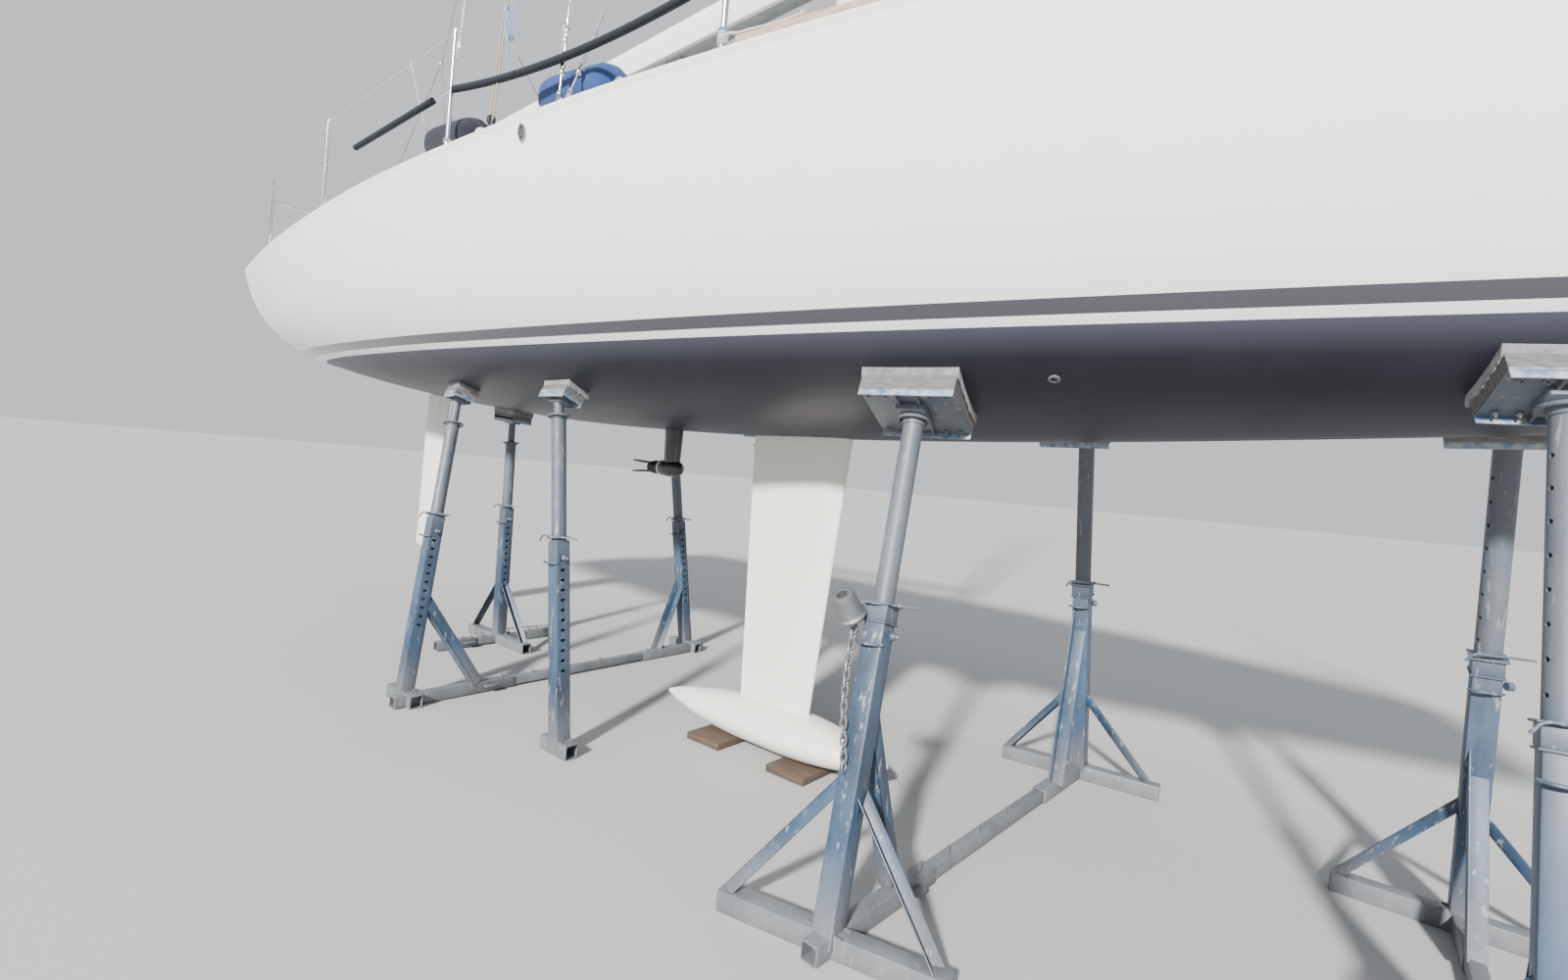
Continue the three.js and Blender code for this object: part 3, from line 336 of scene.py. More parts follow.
def block(low, high, ease=0.002, segments=2):
    """A box between two corners with eased edges."""
    deselect()
    low, high = Vector(low), Vector(high)
    bpy.ops.mesh.primitive_cube_add(size=1, location=(low + high) / 2)
    piece = bpy.context.object
    piece.scale = high - low
    bpy.ops.object.transform_apply(location=True, rotation=True, scale=True)
    return ease_edges(piece, ease, segments)


def moved(piece, place):
    """Moves a piece's points by a placement."""
    piece.data.transform(place)
    piece.data.update()
    return piece


def bar(a, b, wide, high, ease=0.003):
    """A square bar from a to b: wide along the level side and high along the other."""
    length = (Vector(b) - Vector(a)).length
    return moved(block((-wide / 2, -high / 2, 0), (wide / 2, high / 2, length), ease), frame_along(a, b))


def carve(piece, *tools):
    """Cuts tools out of piece."""
    for tool in tools:
        select(piece)
        cut = piece.modifiers.new("carve", "BOOLEAN")
        cut.operation = "DIFFERENCE"
        cut.solver = "EXACT"
        cut.object = tool
        bpy.ops.object.modifier_apply(modifier=cut.name)
        bpy.data.objects.remove(tool)
    return piece


def rounded(points, radius, steps=5):
    """The points of a bent tube: each inner corner becomes an arc."""
    points = [Vector(p) for p in points]
    line = [points[0]]
    for before, corner, after in zip(points, points[1:], points[2:]):
        a, b = (before - corner), (after - corner)
        reach = min(radius, a.length * 0.45, b.length * 0.45)
        start, end = corner + a.normalized() * reach, corner + b.normalized() * reach
        for k in range(steps + 1):
            t = k / steps
            line.append(start * (1 - t) ** 2 + corner * 2 * t * (1 - t) + end * t**2)
    line.append(points[-1])
    return line


def paint(piece, coat):
    """Gives a piece one of the finishes."""
    piece.data.materials.clear()
    piece.data.materials.append(finish(coat))
    return piece


def combine(pieces, coat=None):
    """One object from several. Each keeps its own finish, and coat is for those without one."""
    for piece in pieces:
        if coat and not piece.data.materials:
            paint(piece, coat)
    select(pieces[0])
    for piece in pieces[1:]:
        piece.select_set(True)
    if len(pieces) > 1:
        bpy.ops.object.join()
    return bpy.context.object


def node_copy(node, ease=0.0, segments=2):
    """A copy of a CAD node's mesh, merged, with its flat faces joined and its edges eased."""
    piece = bpy.data.objects.new(node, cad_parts[node].data.copy())
    bpy.context.collection.objects.link(piece)
    piece.data.materials.clear()
    weld(piece)
    edited(piece, lambda: bpy.ops.mesh.dissolve_limited(angle_limit=math.radians(0.5)))
    for layer in list(piece.data.uv_layers):
        piece.data.uv_layers.remove(layer)
    return ease_edges(piece, ease, segments)


def finished(piece, name, coat, body="root", stands_for=(), angle=35):
    """Names a piece, sets its finish and body, and hides the CAD nodes it stands for."""
    if not piece.data.materials:
        paint(piece, coat)
    piece.name = name
    piece.data.name = name
    select(piece)
    bpy.ops.object.transform_apply(location=True, rotation=True, scale=True)
    bpy.ops.object.shade_smooth_by_angle(angle=math.radians(angle))
    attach(piece, body)
    if stands_for:
        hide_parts(*stands_for)
    return piece


def eased(node, name, coat, ease, segments=2, body="root", angle=35):
    """A CAD node in its own shape, with its edges eased."""
    return finished(node_copy(node, ease, segments), name, coat, body, (node,), angle)


# Materials


class Finish:
    """A procedural material, read in the piece's own coordinates."""

    def __init__(self, name, colour, rough, metal=0.0, **sockets):
        self.material = bpy.data.materials.new(name)
        self.material.use_nodes = True
        self.tree = self.material.node_tree
        self.shader = self.tree.nodes["Principled BSDF"]
        self.shader.inputs["Base Color"].default_value = (*colour, 1)
        self.shader.inputs["Roughness"].default_value = rough
        self.shader.inputs["Metallic"].default_value = metal
        for socket, value in sockets.items():
            self.shader.inputs[socket.replace("_", " ")].default_value = value
        self.material.diffuse_color = (*colour, 1)
        self.coordinates = self.tree.nodes.new("ShaderNodeTexCoord").outputs["Object"]

    def link(self, source, target):
        if hasattr(source, "is_output"):
            self.tree.links.new(source, target)
        else:
            target.default_value = source

    def node(self, kind, **inputs):
        made = self.tree.nodes.new("ShaderNode" + kind)
        for socket, value in inputs.items():
            self.link(value, made.inputs[socket])
        return made

    def stretched(self, factors, turn=(0, 0, 0)):
        """The coordinates scaled and turned, or as they are where factors is None."""
        if not factors:
            return self.coordinates
        return self.node("Mapping", Scale=factors, Rotation=turn, Vector=self.coordinates).outputs["Vector"]

    def noise(self, scale, detail=4.0, stretch=None, rough=0.55):
        made = self.node("TexNoise", Scale=scale, Detail=detail, Roughness=rough)
        self.link(self.stretched(stretch), made.inputs["Vector"])
        return made.outputs["Fac"]

    def cells(self, scale):
        return self.node("TexVoronoi", Scale=scale, Vector=self.coordinates).outputs["Distance"]

    def wave(self, scale, direction, distortion, turn):
        vector = self.stretched((1, 1, 1), turn)
        node = self.node("TexWave", Scale=scale, Distortion=distortion, Vector=vector)
        node.bands_direction = direction
        return node.outputs["Fac"]

    def ramp(self, source, *stops):
        node = self.node("ValToRGB", Fac=source)
        elements = node.color_ramp.elements
        while len(elements) < len(stops):
            elements.new(0.5)
        for element, (place, value) in zip(elements, stops):
            element.position = place
            element.color = (value, value, value, 1)
        return node.outputs["Color"]

    def blend(self, factor, a, b):
        node = self.node("Mix")
        node.data_type = "RGBA"
        self.link(factor, node.inputs["Factor"])
        for value, socket in ((a, node.inputs[6]), (b, node.inputs[7])):
            self.link((*value, 1) if isinstance(value, tuple) else value, socket)
        return node.outputs[2]

    def mottled(self, source, low, high, a, b, most=1.0):
        """a where source is under low, turning to b, or to most of it, where source is over high."""
        return self.blend(self.ramp(source, (low, 0.0), (high, most)), a, b)

    def sum(self, operation, a, b):
        node = self.node("Math")
        node.operation = operation
        self.link(a, node.inputs[0])
        self.link(b, node.inputs[1])
        return node.outputs[0]

    def scaled(self, source, factor, offset):
        return self.sum("ADD", self.sum("MULTIPLY", source, factor), offset)

    def axis(self, name):
        return self.node("SeparateXYZ", Vector=self.coordinates).outputs[name]

    def normal(self, name):
        geometry = self.node("NewGeometry")
        return self.node("SeparateXYZ", Vector=geometry.outputs["Normal"]).outputs[name]

    def colour(self, source):
        self.link(source, self.shader.inputs["Base Color"])

    def rough(self, source):
        self.link(source, self.shader.inputs["Roughness"])

    def bump(self, height, strength, distance):
        """Adds a bump over those already there."""
        node = self.node("Bump", Strength=strength, Distance=distance, Height=height)
        previous = self.shader.inputs["Normal"].links
        if previous:
            self.link(previous[0].from_socket, node.inputs["Normal"])
        self.link(node.outputs["Normal"], self.shader.inputs["Normal"])


def tinted(colour, factor):
    return tuple(min(1.0, c * factor) for c in colour)


FINISHES = {}


def finish(coat):
    """The material of that name, made once."""
    if coat not in FINISHES:
        FINISHES[coat] = FINISH_MAKERS[coat](bpy.context.scene.yacht_colours)
    return FINISHES[coat].material


def size(name):
    """One of the sizes that the panel shows, to the micrometre."""
    return round(getattr(bpy.context.scene.yacht_sizes, name), 6)


# The waterline's lowest place and height and how it curves up from there, then the tops of the white line
# and of the boot stripe above it
WATERLINE_X, WATERLINE_Z, WATERLINE_CURVE = 0.62, 2.184, 0.004
WHITE_LINE_TOP, BOOT_STRIPE_TOP = 0.029, 0.075


def hull_finish(colours):
    """Gelcoat above, grey boot stripe, white line and dark bottom paint, split by height."""
    topsides, stripe, bottom = (tuple(getattr(colours, k)) for k in ("topsides", "stripe", "bottom"))
    made = Finish("hull_finish", topsides, 0.14, Coat_Roughness=0.06)
    off = made.sum("SUBTRACT", made.axis("X"), WATERLINE_X)
    rise = made.sum("MULTIPLY", made.sum("MULTIPLY", off, off), WATERLINE_CURVE)
    height = made.sum("SUBTRACT", made.axis("Z"), made.sum("ADD", rise, WATERLINE_Z))
    above_bottom, above_line, above_stripe = (
        made.sum("GREATER_THAN", height, top) for top in (0.0, WHITE_LINE_TOP, BOOT_STRIPE_TOP))
    worn = made.noise(1.6, 6, (1, 1, 0.35))
    dark = made.mottled(worn, 0.35, 0.75, tinted(bottom, 0.8), tinted(bottom, 1.25))
    # Painted light: the bottom paint turns up to 2.6 times lighter over the last 9 cm below the white line,
    # for the light falling on the bottom's upper edge.
    dark = made.mottled(made.sum("ADD", height, 0.5), 0.41, 0.495, dark, tinted(bottom, 2.6))
    streaks = made.noise(5, 5, (1, 1, 0.06))
    white = made.mottled(streaks, 0.45, 0.8, topsides, tinted(topsides, 0.9), 0.25)
    upper = made.blend(above_stripe, made.blend(above_line, white, stripe), white)
    made.colour(made.blend(above_bottom, dark, upper))
    made.rough(made.sum("ADD", made.sum("MULTIPLY", above_bottom, -0.3), made.scaled(worn, 0.12, 0.36)))
    made.link(made.scaled(above_bottom, 0.3, 0.2), made.shader.inputs["Specular IOR Level"])
    made.link(made.sum("MULTIPLY", above_bottom, 0.4), made.shader.inputs["Coat Weight"])
    rolled = made.sum("MULTIPLY", made.noise(220, 2), made.sum("SUBTRACT", 1.0, above_bottom))
    made.bump(rolled, 0.12, 0.001)
    made.bump(made.sum("ADD", above_bottom, made.sum("ADD", above_line, above_stripe)), 0.2, 0.0006)
    return made


def deck_finish(colours):
    """Off-white deck moulding with non-slip where the faces look up."""
    base = tuple(colours.deck)
    made = Finish("deck_finish", base, 0.45, Coat_Weight=0.1)
    up = made.ramp(made.normal("Z"), (0.93, 0.0), (0.98, 1.0))
    made.colour(made.mottled(made.noise(3, 6), 0.45, 0.85, base, tinted(base, 0.82), 0.35))
    made.rough(made.scaled(up, 0.3, 0.3))
    made.bump(made.sum("MULTIPLY", made.noise(900, 1), up), 0.35, 0.0012)
    return made


def keel_finish(colours):
    """Cream epoxy, rolled on and faired, with darker, browner patches low down."""
    base = tuple(colours.keel)
    made = Finish("keel_finish", base, 0.42)
    cloud = made.noise(2.2, 5, (1, 1, 0.4))
    # Darker, browner patches, strongest at the bottom of the bulb and fading out by 0.3 m up.
    low = made.ramp(made.axis("Z"), (0.02, 1.0), (0.3, 0.0))
    dark_patches = made.sum("MULTIPLY", low, made.noise(14, 6))
    shade = made.mottled(cloud, 0.4, 0.75, base, tinted(base, 0.95))
    made.colour(made.mottled(dark_patches, 0.3, 0.8, shade, (0.42, 0.38, 0.33), 0.45))
    made.rough(made.scaled(cloud, 0.15, 0.34))
    made.bump(made.noise(160, 2), 0.1, 0.001)
    return made


def prop_finish(colours):
    """Blue-grey paint scraped down the posts, worn grey on the tubes, with painted light up the posts and
    dust at the ground.
    """
    base = tuple(colours.props)
    grey_worn_and_painted_light, bare_steel, rusty, dust = (
        (0.115, 0.13, 0.14), (0.2, 0.22, 0.23), (0.1, 0.06, 0.045), (0.17, 0.17, 0.165))
    made = Finish("prop_finish", base, 0.5)
    height = made.axis("Z")
    patches = made.noise(7, 8, (1, 1, 0.35), 0.65)
    # Greyer and lighter with height: the tubes' own worn grey, and on the posts painted light higher up and
    # painted shade low down.
    worn = made.ramp(made.sum("MULTIPLY", height, 0.45), (0.12, 0.0), (0.45, 0.3), (0.56, 1.0))
    scrapes = made.ramp(made.noise(46, 7, (1, 1, 0.14), 0.6), (0.6, 0.0), (0.66, 1.0))
    scuffs = made.ramp(made.noise(15, 9, (1, 1, 0.4), 0.75), (0.6, 0.0), (0.7, 0.8))
    coat = made.mottled(patches, 0.36, 0.7, tinted(base, 0.6), tinted(base, 1.6))
    coat = made.blend(made.sum("MULTIPLY", worn, made.sum("ADD", patches, 0.25)), coat, grey_worn_and_painted_light)
    coat = made.blend(scrapes, coat, made.mottled(made.noise(34, 8), 0.56, 0.66, bare_steel, rusty))
    coat = made.blend(made.sum("MULTIPLY", scuffs, 0.5), coat, tinted(base, 2.4))
    low = made.ramp(height, (0.05, 0.85), (0.35, 0.0))
    made.colour(made.blend(made.sum("MULTIPLY", low, made.sum("ADD", patches, 0.3)), coat, dust))
    made.rough(made.scaled(patches, 0.4, 0.3))
    made.bump(made.sum("SUBTRACT", 1.0, scrapes), 0.25, 0.0006)
    made.bump(made.noise(30, 5), 0.12, 0.002)
    return made


def lip_finish(colours):
    """The props' paint rubbed pale along the edges of the heads."""
    base = tuple(colours.props)
    made = Finish("lip_finish", base, 0.6)
    rubbed = made.noise(30, 7)
    made.colour(made.mottled(rubbed, 0.35, 0.6, tinted(base, 2.6), (0.3, 0.32, 0.33)))
    made.rough(made.scaled(rubbed, 0.3, 0.4))
    made.bump(rubbed, 0.2, 0.001)
    return made


def carpet_finish(colours):
    """Old grey carpet, matted and dusty."""
    base = tuple(colours.carpet)
    made = Finish("carpet_finish", base, 0.95, Sheen_Weight=0.4)
    dark_patches = made.noise(24, 7)
    made.colour(made.mottled(dark_patches, 0.35, 0.7, tinted(base, 0.55), tinted(base, 1.2)))
    made.bump(made.cells(420), 0.8, 0.003)
    made.bump(dark_patches, 0.5, 0.004)
    return made


def enamel_finish(colours):
    """White spar enamel, semi-gloss."""
    base = tuple(colours.spar)
    made = Finish("enamel_finish", base, 0.24, Coat_Weight=0.3)
    rubbed = made.noise(6, 6, (1, 1, 0.3))
    made.colour(made.mottled(rubbed, 0.5, 0.85, base, tinted(base, 0.86), 0.4))
    made.rough(made.scaled(rubbed, 0.16, 0.16))
    return made


def acrylic_finish(_colours):
    """Smoked acrylic."""
    made = Finish("acrylic_finish", (0.02, 0.023, 0.027), 0.06, Transmission_Weight=0.25, IOR=1.49)
    made.rough(made.scaled(made.noise(9, 5), 0.1, 0.02))
    made.bump(made.noise(4, 2), 0.02, 0.002)
    return made


def timber_finish(name, key, rough, grain, high, tints, relief, depth):
    """Bare weathered timber, with its grain along x."""

    def make(colours):
        base = tuple(getattr(colours, key))
        made = Finish(name, base, rough)
        lines = made.noise(*grain)
        made.colour(made.mottled(lines, 0.35, high, *(tinted(base, tint) for tint in tints)))
        made.bump(lines, relief, depth)
        return made

    return make


def metal_finish(name, colour, low, high, scratch=0.05):
    """Bare metal, smeared and finely scratched."""

    def make(_colours):
        made = Finish(name, colour, low, 1.0)
        smear = made.noise(22, 6)
        made.rough(made.scaled(smear, high - low, low))
        made.colour(made.mottled(smear, 0.4, 0.8, colour, tinted(colour, 0.82)))
        made.bump(made.noise(300, 3, (1, 1, 0.1)), scratch, 0.0005)
        return made

    return make


def plain_finish(name, key, rough, grain, relief, vary=0.85, **sockets):
    """A finish whose colour varies softly, with a fine grain."""

    def make(colours):
        base = tuple(getattr(colours, key))
        made = Finish(name, base, rough, **sockets)
        cloud = made.noise(12, 6)
        made.colour(made.mottled(cloud, 0.35, 0.75, base, tinted(base, vary)))
        made.rough(made.scaled(cloud, 0.14, max(rough - 0.07, 0.02)))
        made.bump(made.noise(grain, 2), relief, 0.001)
        return made

    return make


def fleece_finish(name, key):
    """Fleecy cover: soft nap, pilled and slightly dusty, with painted shade in the hollows of its folds."""

    def make(colours):
        base = tuple(getattr(colours, key))
        made = Finish(name, base, 0.95, Sheen_Weight=0.08, Sheen_Roughness=0.5)
        nap, folds = made.noise(700, 3), made.noise(11, 5)
        # Painted shade and light: the colour follows the fold bump, darker in the hollows and lighter on the
        # crests.
        shade = made.mottled(folds, 0.35, 0.7, tinted(base, 0.7), tinted(base, 1.3))
        made.colour(made.mottled(nap, 0.4, 0.7, shade, tinted(base, 1.4), 0.4))
        made.bump(nap, 0.7, 0.002)
        made.bump(folds, 0.3, 0.01)
        return made

    return make


def rope_finish(name, key):
    """Laid rope with fine diagonal strands, a little soiled."""

    def make(colours):
        base = tuple(getattr(colours, key))
        made = Finish(name, base, 0.85, Sheen_Weight=0.3)
        made.colour(made.mottled(made.noise(40, 5), 0.4, 0.75, base, tinted(base, 0.7)))
        made.bump(made.wave(260, "DIAGONAL", 1.5, (0.4, 0.3, 0.6)), 0.7, 0.0012)
        return made

    return make


ROUGH_SAWN = (0.85, (26, 8, (0.25, 4, 4)), 0.68, (0.7, 1.25), 0.5, 0.002)
PLANED = (0.75, (60, 8, (0.12, 3, 3)), 0.7, (0.72, 1.12), 0.35, 0.0015)
FINISH_MAKERS = {
    "hull": hull_finish,
    "deck": deck_finish,
    "keel": keel_finish,
    "prop": prop_finish,
    "lip": lip_finish,
    "plank": timber_finish("plank_finish", "timber", *ROUGH_SAWN),
    "board": timber_finish("board_finish", "boards", *ROUGH_SAWN),
    "teak": timber_finish("teak_finish", "teak", *PLANED),
    "carpet": carpet_finish,
    "enamel": enamel_finish,
    "acrylic": acrylic_finish,
    "steel": metal_finish("steel_finish", (0.74, 0.75, 0.77), 0.08, 0.3),
    "alloy": metal_finish("alloy_finish", (0.72, 0.73, 0.74), 0.28, 0.5, 0.1),
    # Galvanised also paints the shade under the boom, on its wide track.
    "galvanised": metal_finish("galvanised_finish", (0.27, 0.28, 0.29), 0.45, 0.75, 0.2),
    "bronze": metal_finish("bronze_finish", (0.06, 0.055, 0.05), 0.35, 0.6, 0.1),
    "gelcoat": plain_finish("gelcoat_finish", "topsides", 0.2, 500, 0.02, 0.93, Coat_Weight=0.3),
    "drive": plain_finish("drive_finish", "drive", 0.28, 240, 0.05, 0.7, Coat_Weight=0.3),
    "engine": plain_finish("engine_finish", "engine", 0.5, 200, 0.1),
    "foam": plain_finish("foam_finish", "foam", 0.9, 600, 0.6),
    "rubber": plain_finish("rubber_finish", "rubber", 0.7, 300, 0.2),
    "vinyl": plain_finish("vinyl_finish", "vinyl", 0.4, 80, 0.05),
    "blue_fleece": fleece_finish("blue_fleece_finish", "blue_cloth"),
    "navy_fleece": fleece_finish("navy_fleece_finish", "navy_cloth"),
    "white_rope": rope_finish("white_rope_finish", "white_rope"),
    "tan_rope": rope_finish("tan_rope_finish", "tan_rope"),
    "blue_rope": rope_finish("blue_rope_finish", "blue_rope"),
}


# Forms


def block_at(spot, low, high, ease=0.002):
    """A block between two corners given from a spot."""
    return block(spot + Vector(low), spot + Vector(high), ease)


def slab(place, low, high, ease=0.002, segments=2):
    """A block laid in the directions of a placement."""
    return moved(block(low, high, ease, segments), place)


def dress(node, coat):
    """Gives a CAD node that stays in view its finish."""
    paint(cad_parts[node], coat)


def hull_ring(x, steps=28, wall=0.0):
    """A section of the hull from sheer to sheer, or of the room inside it where a wall is given."""
    ring = []
    for i in range(-steps, steps + 1):
        y, z = section_point(x, abs(i) / steps)
        narrow = y * (1 - wall / sheer_half(x))
        lift = wall if abs(i) == steps else 0
        ring.append((raked_x(x, z), math.copysign(narrow, i) if i else 0.0, z + wall / 2 + lift))
    return ring


def foil_ring(x, z, chord, thick, steps=22):
    """Symmetric foil about its quarter chord, nose forward."""
    half = []
    for i in range(steps + 1):
        s = (1 - math.cos(math.pi * i / steps)) / 2
        y = 5 * thick * (0.2969 * math.sqrt(s) - 0.126 * s - 0.3516 * s**2 + 0.2843 * s**3 - 0.1015 * s**4)
        half.append((x + chord * (0.25 - s), max(chord * y, 0.003) if s > 0.9 else chord * y))
    starboard = [(u, -y, z) for u, y in half[1:]][::-1]
    return starboard + [(u, y, z) for u, y in half]


def head_place(x, y):
    """A placement on the hull's bottom at x and y, whose z stands square off it into the hull."""
    step = 0.04
    slope_y = (hull_height(x, y + step) - hull_height(x, y - step)) / (2 * step)
    slope_x = (hull_height(x + step, y) - hull_height(x - step, y)) / (2 * step)
    normal = Vector((-slope_x, -slope_y, 1)).normalized()
    level = Vector((abs(normal.y), -normal.x * math.copysign(1, normal.y), 0))
    guide = level if abs(normal.y) > 0.02 else Vector((1, 0, 0))
    along = (guide - normal * guide.dot(normal)).normalized()
    place = Matrix((along, normal.cross(along), normal)).transposed().to_4x4()
    place.translation = Vector((x, y, hull_height(x, y)))
    return place


class YachtStep:
    """Shared by the operators: each makes its pieces and finishes."""

    bl_options = {"REGISTER", "UNDO"}

    def execute(self, _context):
        self.make()
        return {"FINISHED"}


class YACHT_OT_stage(YachtStep, bpy.types.Operator):
    """Camera, lights and the pale floor"""

    bl_idname = "yacht.stage"
    bl_label = "Stage"

    SKY_COLOUR, SKY_STRENGTH = (0.86, 0.9, 0.96, 1), 0.9
    # name, way towards it, strength, width in degrees, colour
    SUNS = (
        ("key", (0.25, -0.85, 0.5), 11.3, 4, (1.0, 0.98, 0.95)),
        ("fill", (-0.6, -0.3, 0.9), 0.6, 40, (0.92, 0.95, 1.0)),
    )
    FLOOR_SIZE, FLOOR_Z = 400, -0.0005

    def make(self):
        self.camera(bpy.context.scene.yacht_sizes)
        self.floor()
        self.lights()

    def camera(self, view):
        turn, pitch, roll = view.view_turn, view.view_pitch, view.view_roll
        right = Vector((math.cos(turn), math.sin(turn), 0))
        ahead = Vector((-math.sin(turn), math.cos(turn), 0))
        forward = ahead * math.cos(pitch) + UP * math.sin(pitch)
        above = UP * math.cos(pitch) - ahead * math.sin(pitch)
        x = right * math.cos(roll) + above * math.sin(roll)
        y = above * math.cos(roll) - right * math.sin(roll)
        data = bpy.data.cameras.new("camera")
        data.sensor_width = 36
        data.lens = view.view_lens
        data.clip_start, data.clip_end = 0.05, 500
        camera = bpy.data.objects.new("camera", data)
        axes = Matrix((x, y, -forward)).transposed().to_4x4()
        camera.matrix_world = Matrix.Translation(view.view_place) @ axes
        bpy.context.collection.objects.link(camera)
        bpy.context.scene.camera = camera

    def floor(self):
        deselect()
        bpy.ops.mesh.primitive_grid_add(
            x_subdivisions=2, y_subdivisions=2, size=self.FLOOR_SIZE, location=(0, 0, self.FLOOR_Z))
        floor = bpy.context.object
        floor.name = "floor"
        made = Finish("floor_finish", (0.36, 0.36, 0.355), 0.9)
        made.colour(made.blend(made.noise(220, 2), (0.35, 0.35, 0.345), (0.37, 0.37, 0.365)))
        floor.data.materials.append(made.material)

    def lights(self):
        world = bpy.data.worlds.new("studio")
        world.use_nodes = True
        sky = world.node_tree.nodes["Background"]
        sky.inputs["Color"].default_value = self.SKY_COLOUR
        sky.inputs["Strength"].default_value = self.SKY_STRENGTH
        bpy.context.scene.world = world
        for name, towards, strength, width, colour in self.SUNS:
            data = bpy.data.lights.new(name, "SUN")
            data.energy = strength
            data.angle = math.radians(width)
            data.color = colour
            light = bpy.data.objects.new(name, data)
            light.rotation_euler = Vector(towards).to_track_quat("Z", "Y").to_euler()
            bpy.context.collection.objects.link(light)


class YACHT_OT_hull(YachtStep, bpy.types.Operator):
    """One smooth hollow shell with its boot stripe and open stern"""

    bl_idname = "yacht.hull"
    bl_label = "Hull"

    WALL, ROOM_ENDS = 0.08, (STERN_X + 0.09, 4.9)
    # What stays solid under the room, and the well that goes down into it
    SOLID_BOTTOM = ((-8, -4, 0), (8, 4, 2.19))
    WELL = ((-0.45, -0.55, 2.02), (1.65, 0.55, 2.4))
    # Line and radius of the hole that the rudder's tube comes through
    RUDDER_HOLE = ((-4.124, 0, 1.95), (-4.06, 0, 2.6), 0.0435)

    def make(self):
        shell = ring_body(spaced(STERN_X, STEM_X, 120), hull_ring)
        room = ring_body(spaced(*self.ROOM_ENDS, 60), lambda x: hull_ring(x, 20, self.WALL))
        carve(room, block(*self.SOLID_BOTTOM, 0))
        carve(shell, room, block(*self.WELL, 0), block(*STERN_GATE, 0), rod(*self.RUDDER_HOLE, 24))
        finished(shell, "hull", "hull",
                 stands_for=("hull_bottom", "topsides_port", "topsides_starboard"))


class YACHT_OT_deck(YachtStep, bpy.types.Operator):
    """Deck moulding, anchor locker with its lid, and the teak toe rail"""

    bl_idname = "yacht.deck"
    bl_label = "Deck"

    # Lowest and highest corners of the openings: cockpit, stern gate, anchor locker, way below
    OPENINGS = (((-4.9, -1.0, 2.57), (-1.71, 1.0, 4)), STERN_GATE, ((3.9, -0.2, 3), (4.35, 0.2, 4)),
                ((-1.72, -0.34, 3.06), (-1.595, 0.34, 4)))
    ROOM_ENDS, ROOF_WALL, ROOM_DEPTH = (-1.605, 2.1), 0.045, 0.2
    # Toe rail: its after end, how far it lies inside the sheer, its width
    TOE_AFT, TOE_INSET, TOE_WIDTH = 0.812, 0.008, 0.022

    def ring(self, x, steps=16):
        half = sheer_half(x)
        base = sheer_z(x) + 0.0003
        top = [(x, half * k, deck_top(x, half * k)) for k in spaced(1, -1, 2 * steps + 1)]
        return [(x, -half, base), (x, half, base)] + top

    def roof_ring(self, x):
        """A section of the room under the coachroof."""
        half = column_at(ROOF_STATIONS, x, 1) - self.ROOF_WALL
        base = deck_top(x, half)
        high = column_at(ROOF_STATIONS, x, 2) - self.ROOF_WALL - base
        side = [(half * (1 - lost), base - self.ROOM_DEPTH if up < 0 else base + high * up)
                for lost, up in ROOF_SECTION]
        return [(x, -y, z) for y, z in side[:-1]] + [(x, y, z) for y, z in reversed(side)]

    def make(self):
        deck = ring_body(spaced(STERN_X, STEM_X, 90), self.ring)
        room = ring_body(spaced(*self.ROOM_ENDS, 24), self.roof_ring)
        carve(deck, room, *[block(*corners, 0) for corners in self.OPENINGS])
        ease_edges(deck, 0.004, 2, 50)
        finished(deck, "deck_moulding", "deck", stands_for=("deck",))
        dress("anchor_locker", "gelcoat")
        eased("anchor_locker_lid", "anchor_lid", "deck", 0.004, body="anchor_locker_lid")
        self.toe_rail()
        dress("rudder_tube", "gelcoat")

    def toe_rail(self):
        front = STEM_X - 0.15
        rails = []
        for side in (1, -1):

            def ring(x):
                outer = max(sheer_half(x) - self.TOE_INSET, 0.02)
                inner = max(outer - self.TOE_WIDTH, 0.001)
                z = deck_top(x, outer)
                return [(x, side * y, z + up) for y, up in (
                    (inner, -0.003), (outer, -0.003), (outer, 0.03), (outer - 0.004, 0.036),
                    (inner + 0.004, 0.038), (inner, 0.032))]

            rails.append(ring_body(spaced(self.TOE_AFT, front, 60), ring))
        half = sheer_half(STEM_X - 0.16) - 0.014
        z = deck_top(front, 0)
        rails.append(block((STEM_X - 0.18, -half, z - 0.004), (front, half, z + 0.03), 0.003))
        finished(combine(rails), "teak_toe_rail", "teak", stands_for=("toe_rail",))


class YACHT_OT_coachroof(YachtStep, bpy.types.Operator):
    """Coachroof with its windows, sliding hatch, washboard and deck hatches"""

    bl_idname = "yacht.coachroof"
    bl_label = "Coachroof"

    def make(self):
        eased("coachroof", "coachroof_moulding", "deck", 0.006)
        for place in ("aft_port", "forward_port", "aft_starboard", "forward_starboard"):
            dress("window_" + place, "acrylic")
        eased("companionway_slide", "sliding_hatch", "gelcoat", 0.008, 3, "companionway_slide")
        eased("washboard", "drop_board", "acrylic", 0.003)
        for node in ("saloon_hatch", "fore_hatch"):
            eased(node, node + "_lid", "acrylic", 0.009, 3, node)


